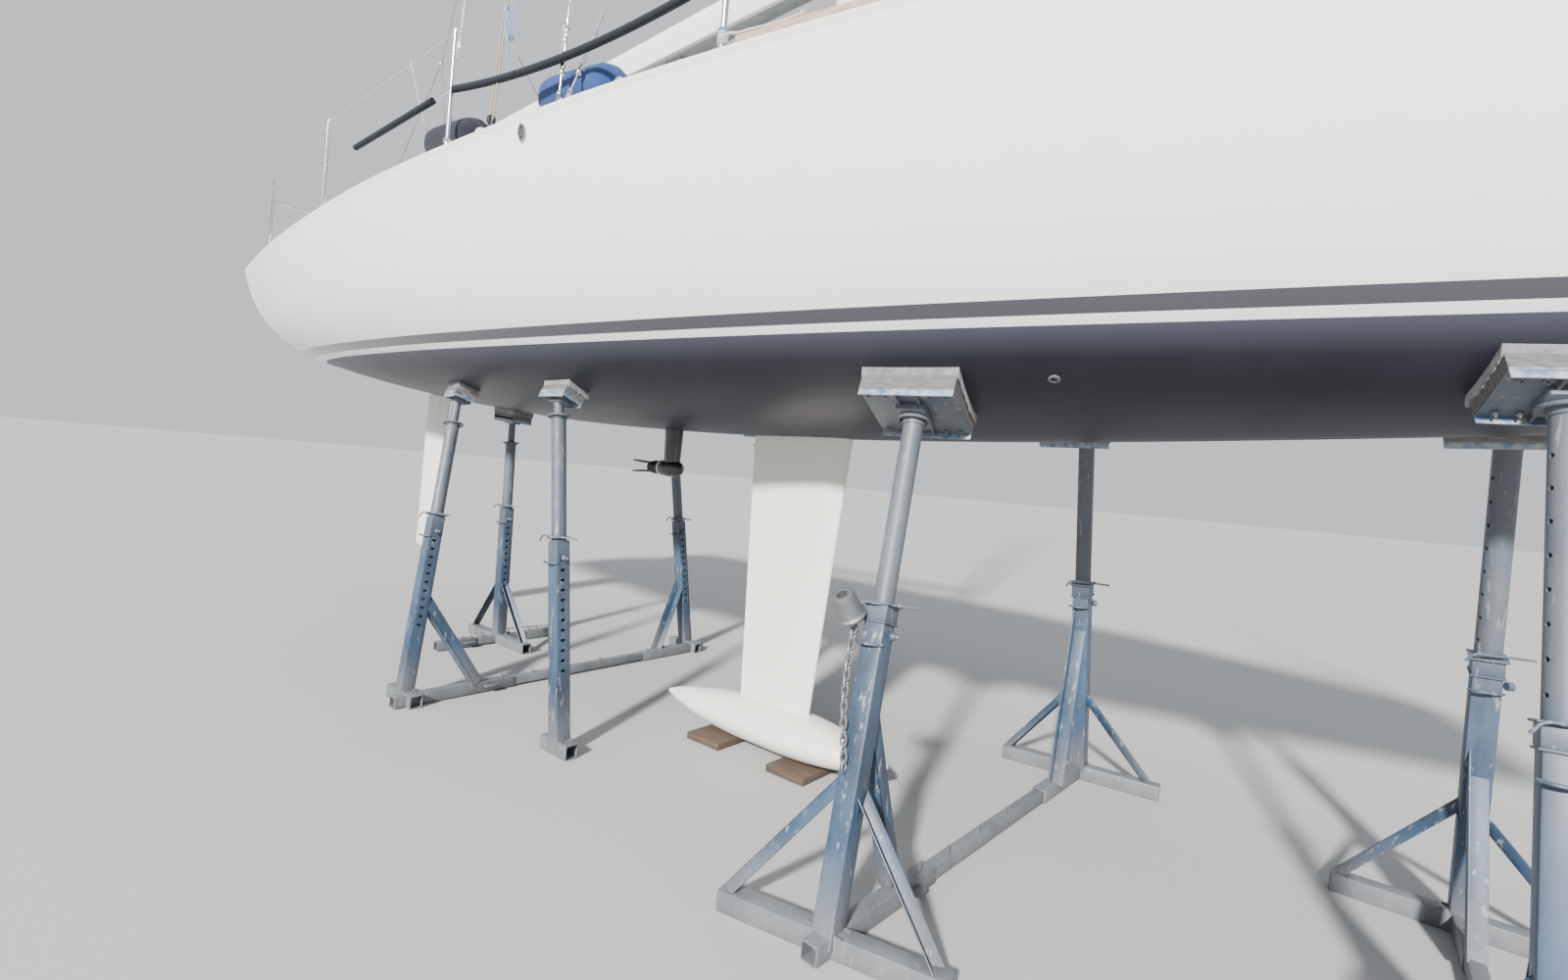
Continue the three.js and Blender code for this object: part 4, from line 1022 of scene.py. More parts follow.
class YACHT_OT_cockpit(YachtStep, bpy.types.Operator):
    """Cockpit sole, seats, coamings, locker lids, pedestal and wheel"""

    bl_idname = "yacht.cockpit"
    bl_label = "Cockpit"

    MOULDINGS = ("cockpit_sole", "seat_port", "seat_starboard", "stern_seat_port", "stern_seat_starboard",
                 "coaming_port", "coaming_starboard")

    def make(self):
        for node in self.MOULDINGS:
            eased(node, node + "_moulding", "deck", 0.009, 3)
        for node in ("locker_lid_port", "locker_lid_starboard"):
            eased(node, node.replace("locker_lid", "seat_lid"), "deck", 0.006, 3, node)
        eased("pedestal", "helm_pedestal", "gelcoat", 0.014, 3)
        dress("wheel", "steel")


class YACHT_OT_keel(YachtStep, bpy.types.Operator):
    """Fin and bulb, and the boards under them"""

    bl_idname = "yacht.keel"
    bl_label = "Keel"

    # Height, x of the quarter chord and chord at the fin's foot and at its root, and its thickness
    FIN_FOOT, FIN_ROOT, FIN_THICK = (0.3, 0.316, 0.512), (1.99, 0.402, 0.72), 0.13
    FIN_HEIGHTS = (0.16, 0.3, 0.8, 1.3, 1.75, 1.97)

    def fin_ring(self, z):
        (low, *foot), (high, *root) = self.FIN_FOOT, self.FIN_ROOT
        t = max(0, (z - low) / (high - low))
        x, chord = (mix(a, b, t) for a, b in zip(foot, root))
        return foil_ring(x, z, chord, self.FIN_THICK)

    def bulb_ring(self, x):
        half, top, low = (column_at(BULB_STATIONS, x, k) for k in (1, 2, 3))
        middle, high = (top + low) / 2, (top - low) / 2
        return [(x, half * math.cos(TAU * i / 48), middle + high * math.sin(TAU * i / 48)) for i in range(48)]

    def make(self):
        fin = ring_body(self.FIN_HEIGHTS, self.fin_ring)
        finished(fin, "fin", "keel", stands_for=("keel_fin",))
        aft, front = BULB_STATIONS[0][0], BULB_STATIONS[-1][0]
        stations = [mix(aft, front, (1 - math.cos(math.pi * i / 60)) / 2) for i in range(61)]
        bulb = ring_body(stations, self.bulb_ring)
        finished(bulb, "bulb", "keel", stands_for=("keel_bulb",))
        for node in ("keel_board_aft", "keel_board_front"):
            eased(node, node.replace("keel_board", "board"), "board", 0.002)


class YACHT_OT_drive(YachtStep, bpy.types.Operator):
    """Saildrive leg, engine, propeller and rudder"""

    bl_idname = "yacht.drive"
    bl_label = "Drive and rudder"

    LEG_X, LEG_LOW, LEG_HEIGHT = -0.852, 1.6, 0.36
    LEG_HEIGHTS = (1.59, 1.65, 1.72, 1.8, 1.88, 1.95, 1.975)
    # Pod: its nose, then its profile and that of the ring behind it
    POD_NOSE = Vector((-0.755, 0, 1.595))
    POD = ((0, 0), (0.02, 0.003), (0.036, 0.012), (0.048, 0.03), (0.054, 0.055), (0.0565, 0.085),
           (0.056, 0.12), (0.053, 0.155), (0.048, 0.18), (0.045, 0.184), (0, 0.184))
    POD_RING = ((0, 0.1845), (0.05, 0.1845), (0.0515, 0.187), (0.0515, 0.194), (0.049, 0.1955), (0, 0.1955))
    # Rudder: x of its stock at the hull, its lean, the height of its foot, the chords at foot and head
    STOCK_X, STOCK_LEAN, STOCK_TOP, STOCK_RADIUS = -4.11, 0.1, 2.56, 0.042
    RUDDER_FOOT, RUDDER_CHORDS, RUDDER_THICK = 0.64, (0.27, 0.43), 0.14

    def make(self):
        leg = paint(ring_body(self.LEG_HEIGHTS, self.leg_ring), "drive")
        aft = self.POD_NOSE - Vector((1, 0, 0))
        pod = paint(turned(self.POD, self.POD_NOSE, aft, 44), "drive")
        ring = paint(turned(self.POD_RING, self.POD_NOSE, aft, 44), "vinyl")
        made = combine([leg, combine([pod, ring])])
        finished(made, "saildrive", "drive", stands_for=("saildrive_leg",))
        eased("engine", "engine_block", "engine", 0.03, 3)
        eased("propeller", "folding_propeller", "bronze", 0.004, 3, "propeller", 50)
        self.rudder()

    def leg_ring(self, z):
        t = (z - self.LEG_LOW) / self.LEG_HEIGHT
        long, wide = mix(0.135, 0.165, t) / 2, mix(0.038, 0.045, t)
        middle = self.LEG_X - 0.02 * max(0, t - 0.6)
        return [(middle + long * math.cos(TAU * i / 32), wide * math.sin(TAU * i / 32), z) for i in range(32)]

    def stock_at(self, z):
        """x of the stock at height z."""
        return self.STOCK_X - (bottom_z(self.STOCK_X) - z) * self.STOCK_LEAN

    def rudder(self):
        low, top = self.RUDDER_FOOT, bottom_z(self.STOCK_X) - 0.014

        def ring(z):
            chord = mix(*self.RUDDER_CHORDS, (z - low) / (top - low))
            points = foil_ring(self.stock_at(z) + 0.04, z, chord, self.RUDDER_THICK)
            return [(x, y, min(h, bottom_z(x) - 0.012)) for x, y, h in points]

        blade = ring_body([low, 0.9, 1.3, 1.7, top - 0.1, top + 0.03], ring)
        ends = [(self.stock_at(z), 0, z) for z in (top - 0.3, self.STOCK_TOP)]
        stock = rod(*ends, self.STOCK_RADIUS, 32)
        finished(combine([blade, stock]), "rudder_blade", "keel", "rudder", ("rudder",))


class YACHT_OT_props(YachtStep, bpy.types.Operator):
    """Adjustable steel props with their ground beams"""

    bl_idname = "yacht.props"
    bl_label = "Props"

    # Name and form, then for each upright the x and y of its foot and of its head, the turn of its foot in
    # degrees and the height where its inner strut ends. The form says how long the foot is, how long and
    # wide the head, how long its thin neck, and how far forward of the feet the ground beam lies, if any.
    PROPS = (
        ("cradle_bow", {"foot": 0.86, "head": (0.32, 0.2), "neck": 0, "beam": 0.0},
         (3.2, -0.8, 3.13, -0.4, 0, 0.8), (3.2, 0.8, 3.13, 0.4, 0, 0.8)),
        ("cradle_mid", {"foot": 0.86, "head": (0.385, 0.34), "neck": 0, "beam": 0.0},
         (1.43, -1.19, 1.3, -0.645, 11, 0.8), (1.585, 1.16, 1.54, 0.775, 6, 1.05)),
        ("cradle_quarter_starboard", {"foot": 0.24, "head": (0.24, 0.135), "neck": 0.09, "beam": None},
         (-0.54, -0.93, -0.855, -0.855, 0, 0)),
        ("cradle_quarter_port", {"foot": 0.24, "head": (0.24, 0.135), "neck": 0.09, "beam": None},
         (-0.54, 0.93, -0.855, 0.855, 0, 0)),
        ("cradle_aft", {"foot": 0.33, "head": (0.24, 0.135), "neck": 0.18, "beam": 0.085},
         (-1.79, -1.2, -2.17, -0.79, 0, 0.64), (-1.815, 1.22, -1.95, 0.94, 0, 0.64)),
        ("cradle_stern", {"foot": 0.86, "head": (0.3, 0.17), "neck": 0.18, "beam": 0.0},
         (-2.8, 0, -2.85, 0, 0, 0)),
    )
    FOOT, POST_TOP, STRUT, WALL = 0.08, 1.15, 0.05, 0.006
    # Feet longer than this are braced
    SHORT_FOOT = 0.5
    # The way of the holes and pins through a tube, and the way out of its face
    HOLE_WAY, FACE_WAY = Vector((0.85, 0.52, 0)).normalized(), Vector((0.52, -0.85, 0))
    # Square collars: from and to along the tube, how much wider than the first, eased edge
    COLLARS = ((-0.062, 0, 0, 0.004), (-0.002, 0.006, 0.018, 0.002), (-0.07, -0.062, 0.008, 0.002))
    # Bends of the handle and of the pin: along the holes, out of the face and up
    HANDLE = ((-0.1, 0.03, -0.02), (-0.075, 0.04, 0.012), (-0.03, 0.054, 0.014), (0.1, 0.05, 0.012),
              (0.128, 0.05, 0.01))
    PIN = ((-0.075, 0.02, 0), (-0.06, 0.05, 0), (0, 0.066, 0), (0.02, 0.06, 0))
    NECK_COLLAR = ((0, 0), (0.066, 0), (0.066, 0.008), (0.042, 0.01), (0, 0.01))
    NECK_NUT = ((0, 0), (0.047, 0), (0.047, 0.018), (0.03, 0.026), (0, 0.026))
    TUBE_NUT = ((0, 0), (0.045, 0), (0.047, 0.006), (0.047, 0.022), (0.041, 0.028), (0, 0.028))

    def make(self):
        for name, form, *uprights in self.PROPS:
            parts = [part for row in uprights for part in self.upright(form, row)]
            if form["beam"] is not None:
                ends = [row[:2] for row in uprights]
                if len(ends) == 1:
                    ends = [(ends[0][0], ends[0][1] + reach) for reach in (-0.42, 0.42)]
                parts += self.ground_beam(*[
                    Vector((x + form["beam"], y + math.copysign(0.11, y), self.FOOT / 2)) for x, y in ends])
            made = combine(parts, "prop")
            finished(made, name.replace("cradle", "prop"), "prop", stands_for=(name,))

    def square_tube(self, a, b, side, wall=WALL):
        """A square tube, open at both ends."""
        way = (b - a).normalized() * 0.01
        return carve(bar(a, b, side, side, 0.006), bar(a - way, b + way, side - 2 * wall, side - 2 * wall, 0))

    def angle_bar(self, a, b, side, turn):
        """An L-shaped bar."""
        length = (b - a).length
        half, thick = side / 2, 0.006
        legs = [block((-half, -half, 0), (half, -half + thick, length), 0.001),
                block((-half, -half, 0), (-half + thick, half, length), 0.001)]
        return moved(combine(legs), frame_along(a, b) @ Matrix.Rotation(math.radians(turn), 4, "Z"))

    def ground_beam(self, a, b):
        """Two square tubes with a thinner one sliding in them, their bolts and a lug."""
        wide = self.FOOT - 0.01
        low, high = a.lerp(b, 0.3), a.lerp(b, 0.74)
        parts = [self.square_tube(a, low, wide), self.square_tube(b, high, wide)]
        parts.append(self.square_tube(a.lerp(b, 0.26), a.lerp(b, 0.78), wide - 0.014, 0.005))
        for t in (0.2, 0.27, 0.36, 0.47, 0.58, 0.76, 0.83):
            spot = a.lerp(b, t) + UP * (wide / 2 - 0.01)
            parts.append(paint(rod(spot, spot + UP * 0.034, 0.006, 10, 0.002), "galvanised"))
            parts.append(paint(bolt(spot, spot + UP * 0.016, 0.012), "galvanised"))
        lug = a.lerp(b, 0.23) + Vector((0.045, 0, 0.01))
        return [*parts, block_at(lug, (-0.02, -0.04, -0.005), (0.03, 0.04, 0.003), 0.001)]

    def upright(self, form, row):
        foot_x, foot_y, head_x, head_y, turn, strut_top = row
        place = head_place(head_x, head_y)
        top = place @ Vector((0, 0, -0.105))
        foot = Vector((foot_x, foot_y, self.FOOT))
        swing = math.radians(turn)

        def at(z):
            return foot.lerp(top, (z - foot.z) / (top.z - foot.z))

        def along_foot(reach, z):
            return Vector((foot_x + reach * math.cos(swing), foot_y + reach * math.sin(swing), z))

        ends = [along_foot(reach * form["foot"] / 2, self.FOOT / 2) for reach in (-1, 1)]
        parts = [self.square_tube(*ends, self.FOOT)]
        parts.append(self.post(form, at(0.02), at(self.POST_TOP - 0.01)))
        parts += self.collar(form, at, top)
        parts += self.tube(form, at(self.POST_TOP - 0.06), top)
        if form["foot"] > self.SHORT_FOOT:
            for way in (1, -1):
                low, high = along_foot(way * 0.39, self.FOOT - 0.01), at(0.56)
                parts.append(self.angle_bar(low, high, self.STRUT, 45 if way > 0 else 225))
                parts.append(block_at(high - UP * 0.03, (-0.03, -0.03, -0.05), (0.03, 0.03, 0.04), 0.004))
        if strut_top:
            inner_y = foot_y - math.copysign(0.42, foot_y)
            low = Vector((foot_x + form["beam"], inner_y, self.FOOT - 0.012))
            parts.append(self.angle_bar(low, at(strut_top), self.STRUT + 0.014, 90 if foot_y < 0 else 270))
        for x, y in ((-0.06, 0.03), (0.06, 0.03), (-0.06, -0.03), (0.06, -0.03)):
            spot = foot + Vector((x, y, -0.001))
            parts.append(block_at(spot, (-0.016, -0.008, 0), (0.016, 0.008, 0.007), 0.003))
        return parts + self.head(form, place)

    def post(self, form, low, high):
        """The square outer post, with a row of slots where its tube is necked."""
        post = bar(low, high, size("post_width"), size("post_width"), 0.009)
        if not form["neck"]:
            return post
        place = frame_along(low, high)
        length = (high - low).length
        return carve(post, combine([slab(place, (-0.1, -0.019, z), (0.1, 0.011, z + 0.015), 0.004, 1)
                                    for z in spaced(length - 0.72, length - 0.12, 12)]))

    def collar(self, form, at, top):
        """The collar at the top of the post, with its handle, pin and lug."""
        high = at(self.POST_TOP)
        way = (top - high).normalized()
        if form["neck"]:
            parts = [turned(self.NECK_COLLAR, high, top, 32)]
        else:
            side = size("post_width") + 0.006
            parts = [bar(high + way * low, high + way * up, side + more, side + more, ease)
                     for low, up, more, ease in self.COLLARS]
        right, near = self.HOLE_WAY, self.FACE_WAY
        pin = at(self.POST_TOP - 0.13)
        for centre, radius, bends in ((high, 0.005, self.HANDLE), (pin, 0.0055, self.PIN)):
            points = [centre + right * along + near * out + way * up for along, out, up in bends]
            parts.append(pipe(points, radius, 3, smooth=True))
        lug = at(self.POST_TOP - 0.1) + right * 0.045 + near * 0.04
        parts.append(rod(lug - right * 0.004, lug + right * 0.018, 0.017, 16, 0.002))
        parts.append(paint(rod(lug + right * 0.016, lug + right * 0.026, 0.008, 8, 0.001), "galvanised"))
        return parts

    def tube(self, form, low, top):
        """The inner tube: plain with a thin neck, or with a row of holes."""
        way = (top - low).normalized()
        radius = size("tube_radius")
        if form["neck"]:
            shoulder = top - way * form["neck"]
            return [
                rod(low, shoulder, radius, 32),
                rod(shoulder - way * 0.02, top, 0.027, 28),
                self.ring(shoulder + way * 0.012, way, 0.06, 0.006),
                turned(self.NECK_NUT, shoulder - way * 0.004, top, 28),
            ]
        across = (self.HOLE_WAY - way * self.HOLE_WAY.dot(way)).normalized()
        tube = rod(low, top, radius, 40)
        centres = [low + way * (0.13 + 0.09 * i) for i in range(int(((top - low).length - 0.16) / 0.09))]
        carve(tube, combine([rod(c - across * 0.07, c + across * 0.07, 0.0075, 12) for c in centres]))
        return [tube, self.ring(top - way * 0.012, way, 0.062, 0.007),
                turned(self.TUBE_NUT, top - way * 0.035, top, 32)]

    def ring(self, centre, way, radius, thick):
        return moved(torus(radius, thick, 36, 10), frame_along(centre, centre + way))

    def head(self, form, place):
        """The head's plate with its lips, ribs and bolts, the timber pad and the carpet on it."""
        long, wide = form["head"][0] / 2, form["head"][1] / 2
        parts = [slab(place, (-long, -wide, -0.08), (long, wide, -0.073))]
        high = -0.058 if form["neck"] else -0.066
        for side in (1, -1):
            y0, y1 = sorted((side * wide, side * (wide - 0.007)))
            parts.append(paint(slab(place, (-long, y0, -0.103), (long, y1, high)), "lip"))
        if form["neck"]:
            for side in (1, -1):
                x0, x1 = sorted((side * long, side * (long - 0.006)))
                parts.append(paint(slab(place, (x0, -wide + 0.007, -0.09), (x1, wide - 0.007, high)), "lip"))
        parts.append(slab(place, (-0.06, -wide * 0.48, -0.112), (0.06, wide * 0.48, -0.079), 0.005))
        for x in (-0.042, 0.042):
            rib = block((x - 0.004, -wide + 0.006, -0.125), (x + 0.004, wide - 0.006, -0.079), 0)
            for point in rib.data.vertices:
                if point.co.z < -0.1 and abs(point.co.y) > wide / 2:
                    point.co.z = -0.098
            parts.append(moved(ease_edges(rib, 0.0012), place))
        for x in (-long + 0.035, -long * 0.45, long * 0.5, long - 0.035):
            for y in (-wide + 0.03, wide - 0.03):
                spot, below, end = (place @ Vector((x, y, z)) for z in (-0.078, -0.09, -0.1))
                parts.append(paint(bolt(spot, below, 0.009), "galvanised"))
                parts.append(paint(rod(below, end, 0.004, 8), "galvanised"))
        # The pad's timber is darker than the wood alone, as painted shade under the hull.
        parts.append(paint(self.pad(place, long, wide, -0.0725, 0.016), "plank"))
        parts.append(paint(self.pad(place, long + 0.005, wide + 0.005, None, 0.0165), "carpet"))
        return parts

    def pad(self, place, long, wide, low, thick):
        """Lies against the hull: a block down to the flat plate where low is given, or else a thin layer."""
        rough = random.Random(round(long * 1000))

        def skin(x, y, drop):
            point = place @ Vector((x, y, 0))
            return Vector((point.x, point.y, hull_height(point.x, point.y) - 0.0006 - drop))

        def ring(x):
            ys = spaced(-wide, wide, 21)
            top = [skin(x, y, thick if low is not None else 0) for y in ys]
            if low is not None:
                return top + [place @ Vector((x, y, low)) for y in reversed(ys)]
            near_end = abs(x) > long - 0.012
            bottom = []
            for y in reversed(ys):
                hang = (0.012 + rough.random() * 0.016) if near_end or abs(y) > wide - 0.012 else 0
                bottom.append(skin(x, y, thick + hang))
            return top + bottom

        return ring_body(spaced(-long, long, 31), ring)


class YACHT_OT_jack(YachtStep, bpy.types.Operator):
    """The screw cup that hangs from the near prop on its chain"""

    bl_idname = "yacht.jack"
    bl_label = "Screw cup and chain"

    # The ways along the prop's handle and out of its face, the top of its post and the chain's lower end
    RIGHT, NEAR = Vector((0.784, 0.621, 0)), Vector((0.621, -0.784, 0))
    POST_HEAD, CHAIN_FOOT = Vector((1.353, -0.866, 1.15)), Vector((1.41, -1.06, 0.6))
    CUP = ((0, 0), (0.056, 0), (0.061, 0.006), (0.061, 0.014), (0.056, 0.02), (0.053, 0.026), (0.048, 0.098),
           (0.044, 0.11), (0.035, 0.112), (0.022, 0.11), (0.019, 0.07), (0, 0.07))
    LINKS = 19

    def make(self):
        right, near = self.RIGHT, self.NEAR
        base = self.POST_HEAD - right * 0.128 + near * 0.04 + Vector((0, 0, -0.05))
        lean = (right * -0.42 + UP * 0.75 + near * 0.35).normalized()
        cup = turned(self.CUP, base, base + lean, 32)
        start = base - lean * 0.01 + right * 0.01
        end = self.CHAIN_FOOT - right * 0.052 + near * 0.01
        way = (end - start).normalized()
        links = []
        for i in range(self.LINKS):
            t = i / (self.LINKS - 1)
            spot = start.lerp(end, t) - right * 0.018 * math.sin(math.pi * t) + near * 0.01
            link = torus(0.0125, 0.004, 14, 6)
            for point in link.data.vertices:
                point.co.x *= 1.7
            turn = frame_along(spot, spot + way) @ Matrix.Rotation(math.pi / 2 * (i % 2), 4, "Z")
            links.append(moved(link, turn @ Matrix.Rotation(math.pi / 2, 4, "Y")))
        chain = combine(links)
        wire = pipe([start + right * 0.03 + UP * 0.03, start - UP * 0.02, start - UP * 0.05 + right * 0.01],
                    0.007, 3, True)
        finished(combine([cup, chain, wire]), "screw_cup", "galvanised")


class YACHT_OT_rig(YachtStep, bpy.types.Operator):
    """Mast, standing rigging, boom and vang"""

    bl_idname = "yacht.rig"
    bl_label = "Rig"

    # root height, half-span, sweep
    SPREADERS = ((8.1, 1.2, 0.56), (12.5, 0.92, 0.43))
    TIP_GAP = 0.016
    HOUND, LOWER_HEAD = (0.27, 0.103, 16.4), (0.27, 0.07, 7.97)
    PLATE_X, LOWER_X, PLATE_INSET = -0.221, -0.148, 0.08
    # Parts of a turnbuckle: fork end, sleeve from where it starts, swaged end and lock nut
    FORK = ((0, 0.03), (0.012, 0.03), (0.012, 0.042), (0.007, 0.05), (0.006, 0.05), (0.006, 0.13), (0, 0.13))
    SLEEVE = ((0, 0), (0.0125, 0), (0.0135, 0.004), (0.0135, 0.02), (0.011, 0.025), (0, 0.025))
    SWAGE = ((0, 0.36), (0.009, 0.36), (0.0095, 0.37), (0.0085, 0.43), (0.005, 0.46), (0, 0.46))
    NUT = ((0, 0.335), (0.011, 0.335), (0.011, 0.348), (0, 0.348))
    BOOM_AFT, BOOM_FRONT, BOOM_PIN, BOOM_Z = -3.9, 0.088, 0.158, 4.575
    BOOM_HIGH, BOOM_HALF, BOOM_DROOP = 0.118, 0.062, 0.045

    def make(self):
        eased("mast", "mast_tube", "enamel", 0.001, angle=50)
        eased("forestay", "furled_forestay", "alloy", 0, angle=50)
        eased("backstay", "split_backstay", "steel", 0, angle=70)
        for side, name in SIDES:
            self.shrouds(side, name)
        self.boom()
        eased("vang", "boom_vang", "alloy", 0.001, 2, "boom", 50)

    def screw(self, foot, head):
        """Parts and top of a toggle, open turnbuckle and swaged end on the way from foot to head."""
        way = (Vector(head) - foot).normalized()
        place = frame_along(foot, head)
        parts = [slab(place, (x - 0.0025, -0.008, -0.012), (x + 0.0025, 0.008, 0.036))
                 for x in (-0.009, 0.009)]
        parts.append(moved(rod((-0.014, 0, 0), (0.014, 0, 0), 0.005, 16, 0.001), place))
        sleeves = [[(radius, low + up) for radius, up in self.SLEEVE] for low in (0.125, 0.27)]
        parts += [turned(profile, foot, head, 20) for profile in (self.FORK, *sleeves)]
        for x in (-0.0105, 0.0105):
            parts.append(slab(place, (x - 0.0022, -0.006, 0.14), (x + 0.0022, 0.006, 0.28), 0.0018))
        for low, high in ((0.13, 0.19), (0.23, 0.36)):
            parts.append(rod(foot + way * low, foot + way * high, 0.006, 16))
        parts += [turned(self.SWAGE, foot, head, 20), turned(self.NUT, foot, head, 6)]
        return parts, foot + way * 0.45

    def spreader_tip(self, side, root, half, sweep):
        reach = 1 + self.TIP_GAP / math.hypot(half, sweep)
        return 0.28 - sweep * reach, side * half * reach, root + 0.06

    def shrouds(self, side, name):
        y = side * (sheer_half(self.PLATE_X) - self.PLATE_INSET)
        deck = deck_top(self.PLATE_X, y)
        low, high = (self.spreader_tip(side, *row) for row in self.SPREADERS)
        hound, lower_head = ((x, side * out, z) for x, out, z in (self.HOUND, self.LOWER_HEAD))
        parts = [block((self.PLATE_X - 0.048, y - 0.012, deck - 0.006),
                       (self.LOWER_X + 0.048, y + 0.012, deck + 0.012), 0.004)]
        for x, head, radius in ((self.PLATE_X, low, 0.0048), (self.LOWER_X, lower_head, 0.0042)):
            parts.append(block((x - 0.024, y - 0.004, deck), (x + 0.024, y + 0.004, deck + 0.066), 0.003))
            screw, end = self.screw(Vector((x, y, deck + 0.052)), head)
            parts += [*screw, rod(end, head, radius, 12)]
        parts += [rod(low, high, 0.0045, 12), rod(high, hound, 0.0042, 12)]
        for tip in (low, high):
            parts.append(rod(Vector(tip) - UP * 0.012, Vector(tip) + UP * 0.012, 0.009, 16, 0.003))
        shrouds = "shrouds_" + name
        finished(combine(parts), "rigging_" + name, "steel", stands_for=(shrouds,), angle=40)

    def boom_under(self, x):
        """Height of the boom's lower side at x."""
        return self.BOOM_Z - self.BOOM_HIGH + self.BOOM_DROOP * (x - self.BOOM_FRONT)

    def boom_ring(self, x):
        """A rounded oblong section, a little smaller towards the after end."""
        scale = mix(1, 0.92, (self.BOOM_FRONT - x) / (self.BOOM_FRONT - self.BOOM_AFT))
        ring = []
        for i in range(48):
            c, s = math.cos(TAU * i / 48), math.sin(TAU * i / 48)
            y, up = math.copysign(abs(c) ** 0.6, c), math.copysign(abs(s) ** 0.6, s)
            high = (up + 1) * scale * self.BOOM_HIGH
            ring.append((x, self.BOOM_HALF * y * scale, self.boom_under(x) + high))
        return ring

    def boom(self):
        aft, front, pin_x, z = self.BOOM_AFT, self.BOOM_FRONT, self.BOOM_PIN, self.BOOM_Z
        spar = ring_body(spaced(aft, front, 12), self.boom_ring)
        jaw = block((front - 0.005, -0.012, z - 0.04), (pin_x - 0.01, 0.012, z + 0.04), 0.003)
        pin = rod((pin_x, 0, z - 0.055), (pin_x, 0, z + 0.055), 0.02, 24)
        # The track is a real one, drawn dark grey and nearly the boom's width, to paint the shade on the
        # boom's underside.
        ends = [(x, 0, self.boom_under(x) + 0.012) for x in (aft + 0.05, front - 0.04)]
        track_and_painted_shade = paint(bar(*ends, 0.098, 0.034, 0.006), "galvanised")
        middle = self.boom_under(aft) + self.BOOM_HIGH
        cap = ring_body(spaced(aft - 0.006, aft + 0.007, 3), lambda x: [
            (x, y * 0.97, mix(middle, h, 0.97)) for _, y, h in self.boom_ring(aft)])
        made = combine([spar, jaw, pin, track_and_painted_shade, paint(cap, "alloy")], "enamel")
        finished(made, "boom_spar", "enamel", "boom", ("boom",))


# The stanchions' places along the deck; the lower wire sags between the second and the third
STANCHIONS = (-2.8, -1.064, 0.723, 2.45)


def lower_wire(x):
    """Height of the lower wire above the deck at x."""
    high = size("wire_height")
    if STANCHIONS[1] < x < STANCHIONS[2]:
        t = (x + 0.17) / 0.894
        return high - 0.07 * (1 - t * t)
    return high


